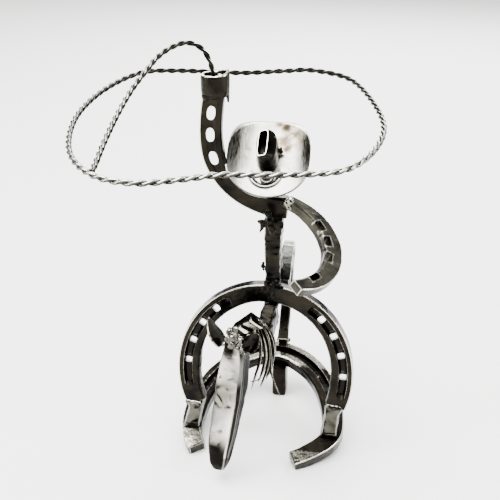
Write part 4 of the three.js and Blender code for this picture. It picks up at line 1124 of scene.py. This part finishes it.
# part of the height, half width, half length, shift to the side, wear, dirt (painted shade inside the slot)
CROWN_WALL = [(0, 7.4, 11.2, 0, 0, 0), (0.15, 7.2, 11, 0, 0, 0), (0.5, 7.2, 10.8, 0, 0, 0),
              (0.8, 6.9, 10.5, 0, 0, 0), (0.94, 6.6, 10.3, 0, 0.1, 0), (0.99, 6.3, 10, 0, 0.1, 0),
              (1, 5.9, 9.7, 0, 0, 0), (1, 3.4, 9.4, -2.4, 0, 0), (1.01, 3.3, 9.3, -2.4, 1, 0),
              (1.01, 2.9, 8.9, -2.4, 1, 0), (0.99, 2.7, 8.7, -2.4, 0.3, 0), (0.97, 2.7, 8.6, -2.4, 0, 0.9),
              (0.3, 2.4, 8.2, -2.4, 0, 1), (0.28, 0.3, 1, -2.4, 0, 1)]
crown_rings = []
for part, half_wide, half_long, shift, wear, dirt in CROWN_WALL:
    outer_wall = shift == 0
    round_x, round_y = (0.65, 0.75) if outer_wall else (0.4, 0.5)
    ring = []
    for a in around(CROWN_COUNT):
        x, y = squared(a, round_x, round_y)
        x *= half_wide
        y = y * half_long + 0.25 * x * (not outer_wall)
        lobe = 2.6 * max(0.0, (x + shift - 1.2) / 5) * part
        corner = Vector((CROWN_X + x + shift, CROWN_Y + y, BRIM_SHEET / 2 + part * CROWN_HIGH - lobe))
        # A painted highlight runs down one side of the outer wall
        painted_highlight_streak = 0.62 * bell(a, 0.5, 0.14) * outer_wall
        ring.append((hat_plane @ corner, max(wear, painted_highlight_streak), dirt))
    crown_rings.append(ring)
finish_piece(loft_piece("hat_crown_tube", crown_rings, sharp=45), mane_steel, "hat_crown")
crown_drops = [((7.0, 5.0, 6), 2.0), ((7.8, 4.0, 4), 1.7), ((-7.6, 9.0, 3), 1.6)]
bead("crown_weld", [(*(hat_plane @ Vector(place)), radius, 1.0) for place, radius in crown_drops],
     mirror_steel, slot="polished_steel", lump=0.4, swell=0.4)
BUTTON_X, BUTTON_Y, BUTTON_COUNT = -0.2, -14.2, 40
button_rings = []
for radius, lift, wear in ((4.9, 0.3, 0.1), (4.8, 1.8, 0.1), (4.2, 2.7, 0.6), (2.6, 2.9, 0.1),
                           (2.2, 2.4, 0.1), (1.6, 1.2, 0.1), (0.4, 1.0, 0.1)):
    middle = Vector((BUTTON_X, BUTTON_Y, BRIM_SHEET / 2 + lift))
    button_rings.append([
        (hat_plane @ (middle + radius * Vector((math.cos(a), math.sin(a), 0))), wear, 0)
        for a in around(BUTTON_COUNT)])
finish_piece(loft_piece("hat_button_disc", button_rings), mane_steel, "hat_button")

# ---- Noose ----
# Two strands of soft galvanised wire, 2 mm thick, twisted together left-handed and bent by hand
# into a noose. The standing part rises out of the fist and comes down to a half hitch on the loop.

LOOP_BACK_Y, LOOP_BACK_Z, LOOP_TILT = 12.0, 286.0, math.tan(math.radians(6))
LOOP = [Vector((x, y, LOOP_BACK_Z + (y - LOOP_BACK_Y) * LOOP_TILT)) for x, y in (
    (-75, -143), (-51, -150), (-28, -143), (-9, -136), (20, -133), (52, -123), (68, -89), (68, -49), (50, 5),
    (24, 22), (4, 19), (-23, 13), (-65, 13), (-88, 6), (-103, -28), (-106, -72), (-95, -117))]
STANDING = [Vector(p) for p in (
    (-38, 4, 279), (-39.5, 5, 289), (-43, 6, 298), (-48, 5, 304), (-55.4, 1, 307), (-62.7, -7, 305.7),
    (-69, -17, 302), (-73, -29, 297), (-78, -50, 289), (-80, -76, 281), (-79, -105, 275), (-77, -128, 271),
    (-75.4, -142, 270.4))]
STRAND_R, LAY, ROPE_R = 1.04, 14.0, 1.82
FINE, TURN_STEPS, WIRE_SIDES = 4000, 16, 10


def even_route(points, closed):
    """The curve through the points at even steps."""
    if closed:
        ring = points[-2:] + points + points[:3]
        fine = [catmull(ring, (2 + len(points) * k / FINE) / (len(ring) - 1)) for k in range(FINE + 1)]
    else:
        fine = [catmull(points, k / FINE) for k in range(FINE + 1)]
    lengths = np.cumsum([0.0] + [(b - a).length for a, b in zip(fine, fine[1:])])
    steps = round(lengths[-1] / LAY) * TURN_STEPS
    at = np.interp(np.linspace(0, lengths[-1], steps + 1), lengths, np.arange(len(fine)))
    return [fine[int(k)].lerp(fine[min(int(k) + 1, FINE)], k % 1) for k in at]


rope_points, rope_faces, rope_highlight, rope_groove_shade = [], [], [], []
for points, closed in ((LOOP, True), (STANDING, False)):
    route = even_route(points, closed)
    count = len(route) - 1 if closed else len(route)
    for strand in (0, math.pi):
        rope_faces += tube_faces(count, WIRE_SIDES, closed, len(rope_points))
        for i in range(count):
            before = route[i - 1 if i or closed else 0]
            after = route[(i + 1) % len(route) if closed else min(i + 1, count - 1)]
            along = (after - before).normalized()
            level = WORLD_Z - along * along.z
            level = level.normalized() if level.length > 0.3 else (WORLD_X - along * along.x).normalized()
            across = along.cross(level)
            turn = -2 * math.pi * i / TURN_STEPS + strand
            centre = route[i] + (level * math.cos(turn) + across * math.sin(turn)) * (ROPE_R - STRAND_R)
            for a in around(WIRE_SIDES):
                rope_points.append(centre + (level * math.cos(a) + across * math.sin(a)) * STRAND_R)
                crown_here = math.cos(a - turn)
                # Each strand is painted light on its upper side, a painted highlight, and dark on its side
                # towards the other strand, painted shade in the groove
                rope_highlight.append(1.1 * max(0.0, math.cos(a - 0.6) - 0.15) * (crown_here > -0.5))
                rope_groove_shade.append(max(0.0, -crown_here - 0.45) * 2.0)
noose = mesh_piece("twisted_wire_noose", rope_points, rope_faces, rope_highlight, rope_groove_shade, sharp=60)
wire = forged_steel("twisted_soft_wire", scale_code="#0f0e0b", rust_code="#1f1d17", bright_code="#c2c0b5",
                    gloss=0.3, bright_from=0.34)
finish_piece(noose, wire, "lasso", slot="wire_rope")

# ---- Weld at the flat shoe's toe ----
# A buffed bead where the body shoe stands on the flat shoe, and small ones at the boots.

bead("toe_weld", [(1.5, 88, 43.2, 3.0, 1), (-2.0, 88.5, 42.6, 2.4, 1), (5.0, 88.2, 43, 2.6, 1),
                  (1.0, 85.6, 42.2, 2.4, 1)], mirror_steel, slot="polished_steel", swell=0.5)
for label, ankle in (("left", (-56, -7.4, 40)), ("right", (48.5, -7.4, 46))):
    left_end, right_end = (Vector(ankle) + Vector((x, 0, -0.1 * x + 0.1)) for x in (-5, 5))
    bead(label + "_ankle_weld", ripple(left_end, right_end, 3.6, 8, 0.8), mirror_steel, slot="polished_steel",
         swell=0.5)
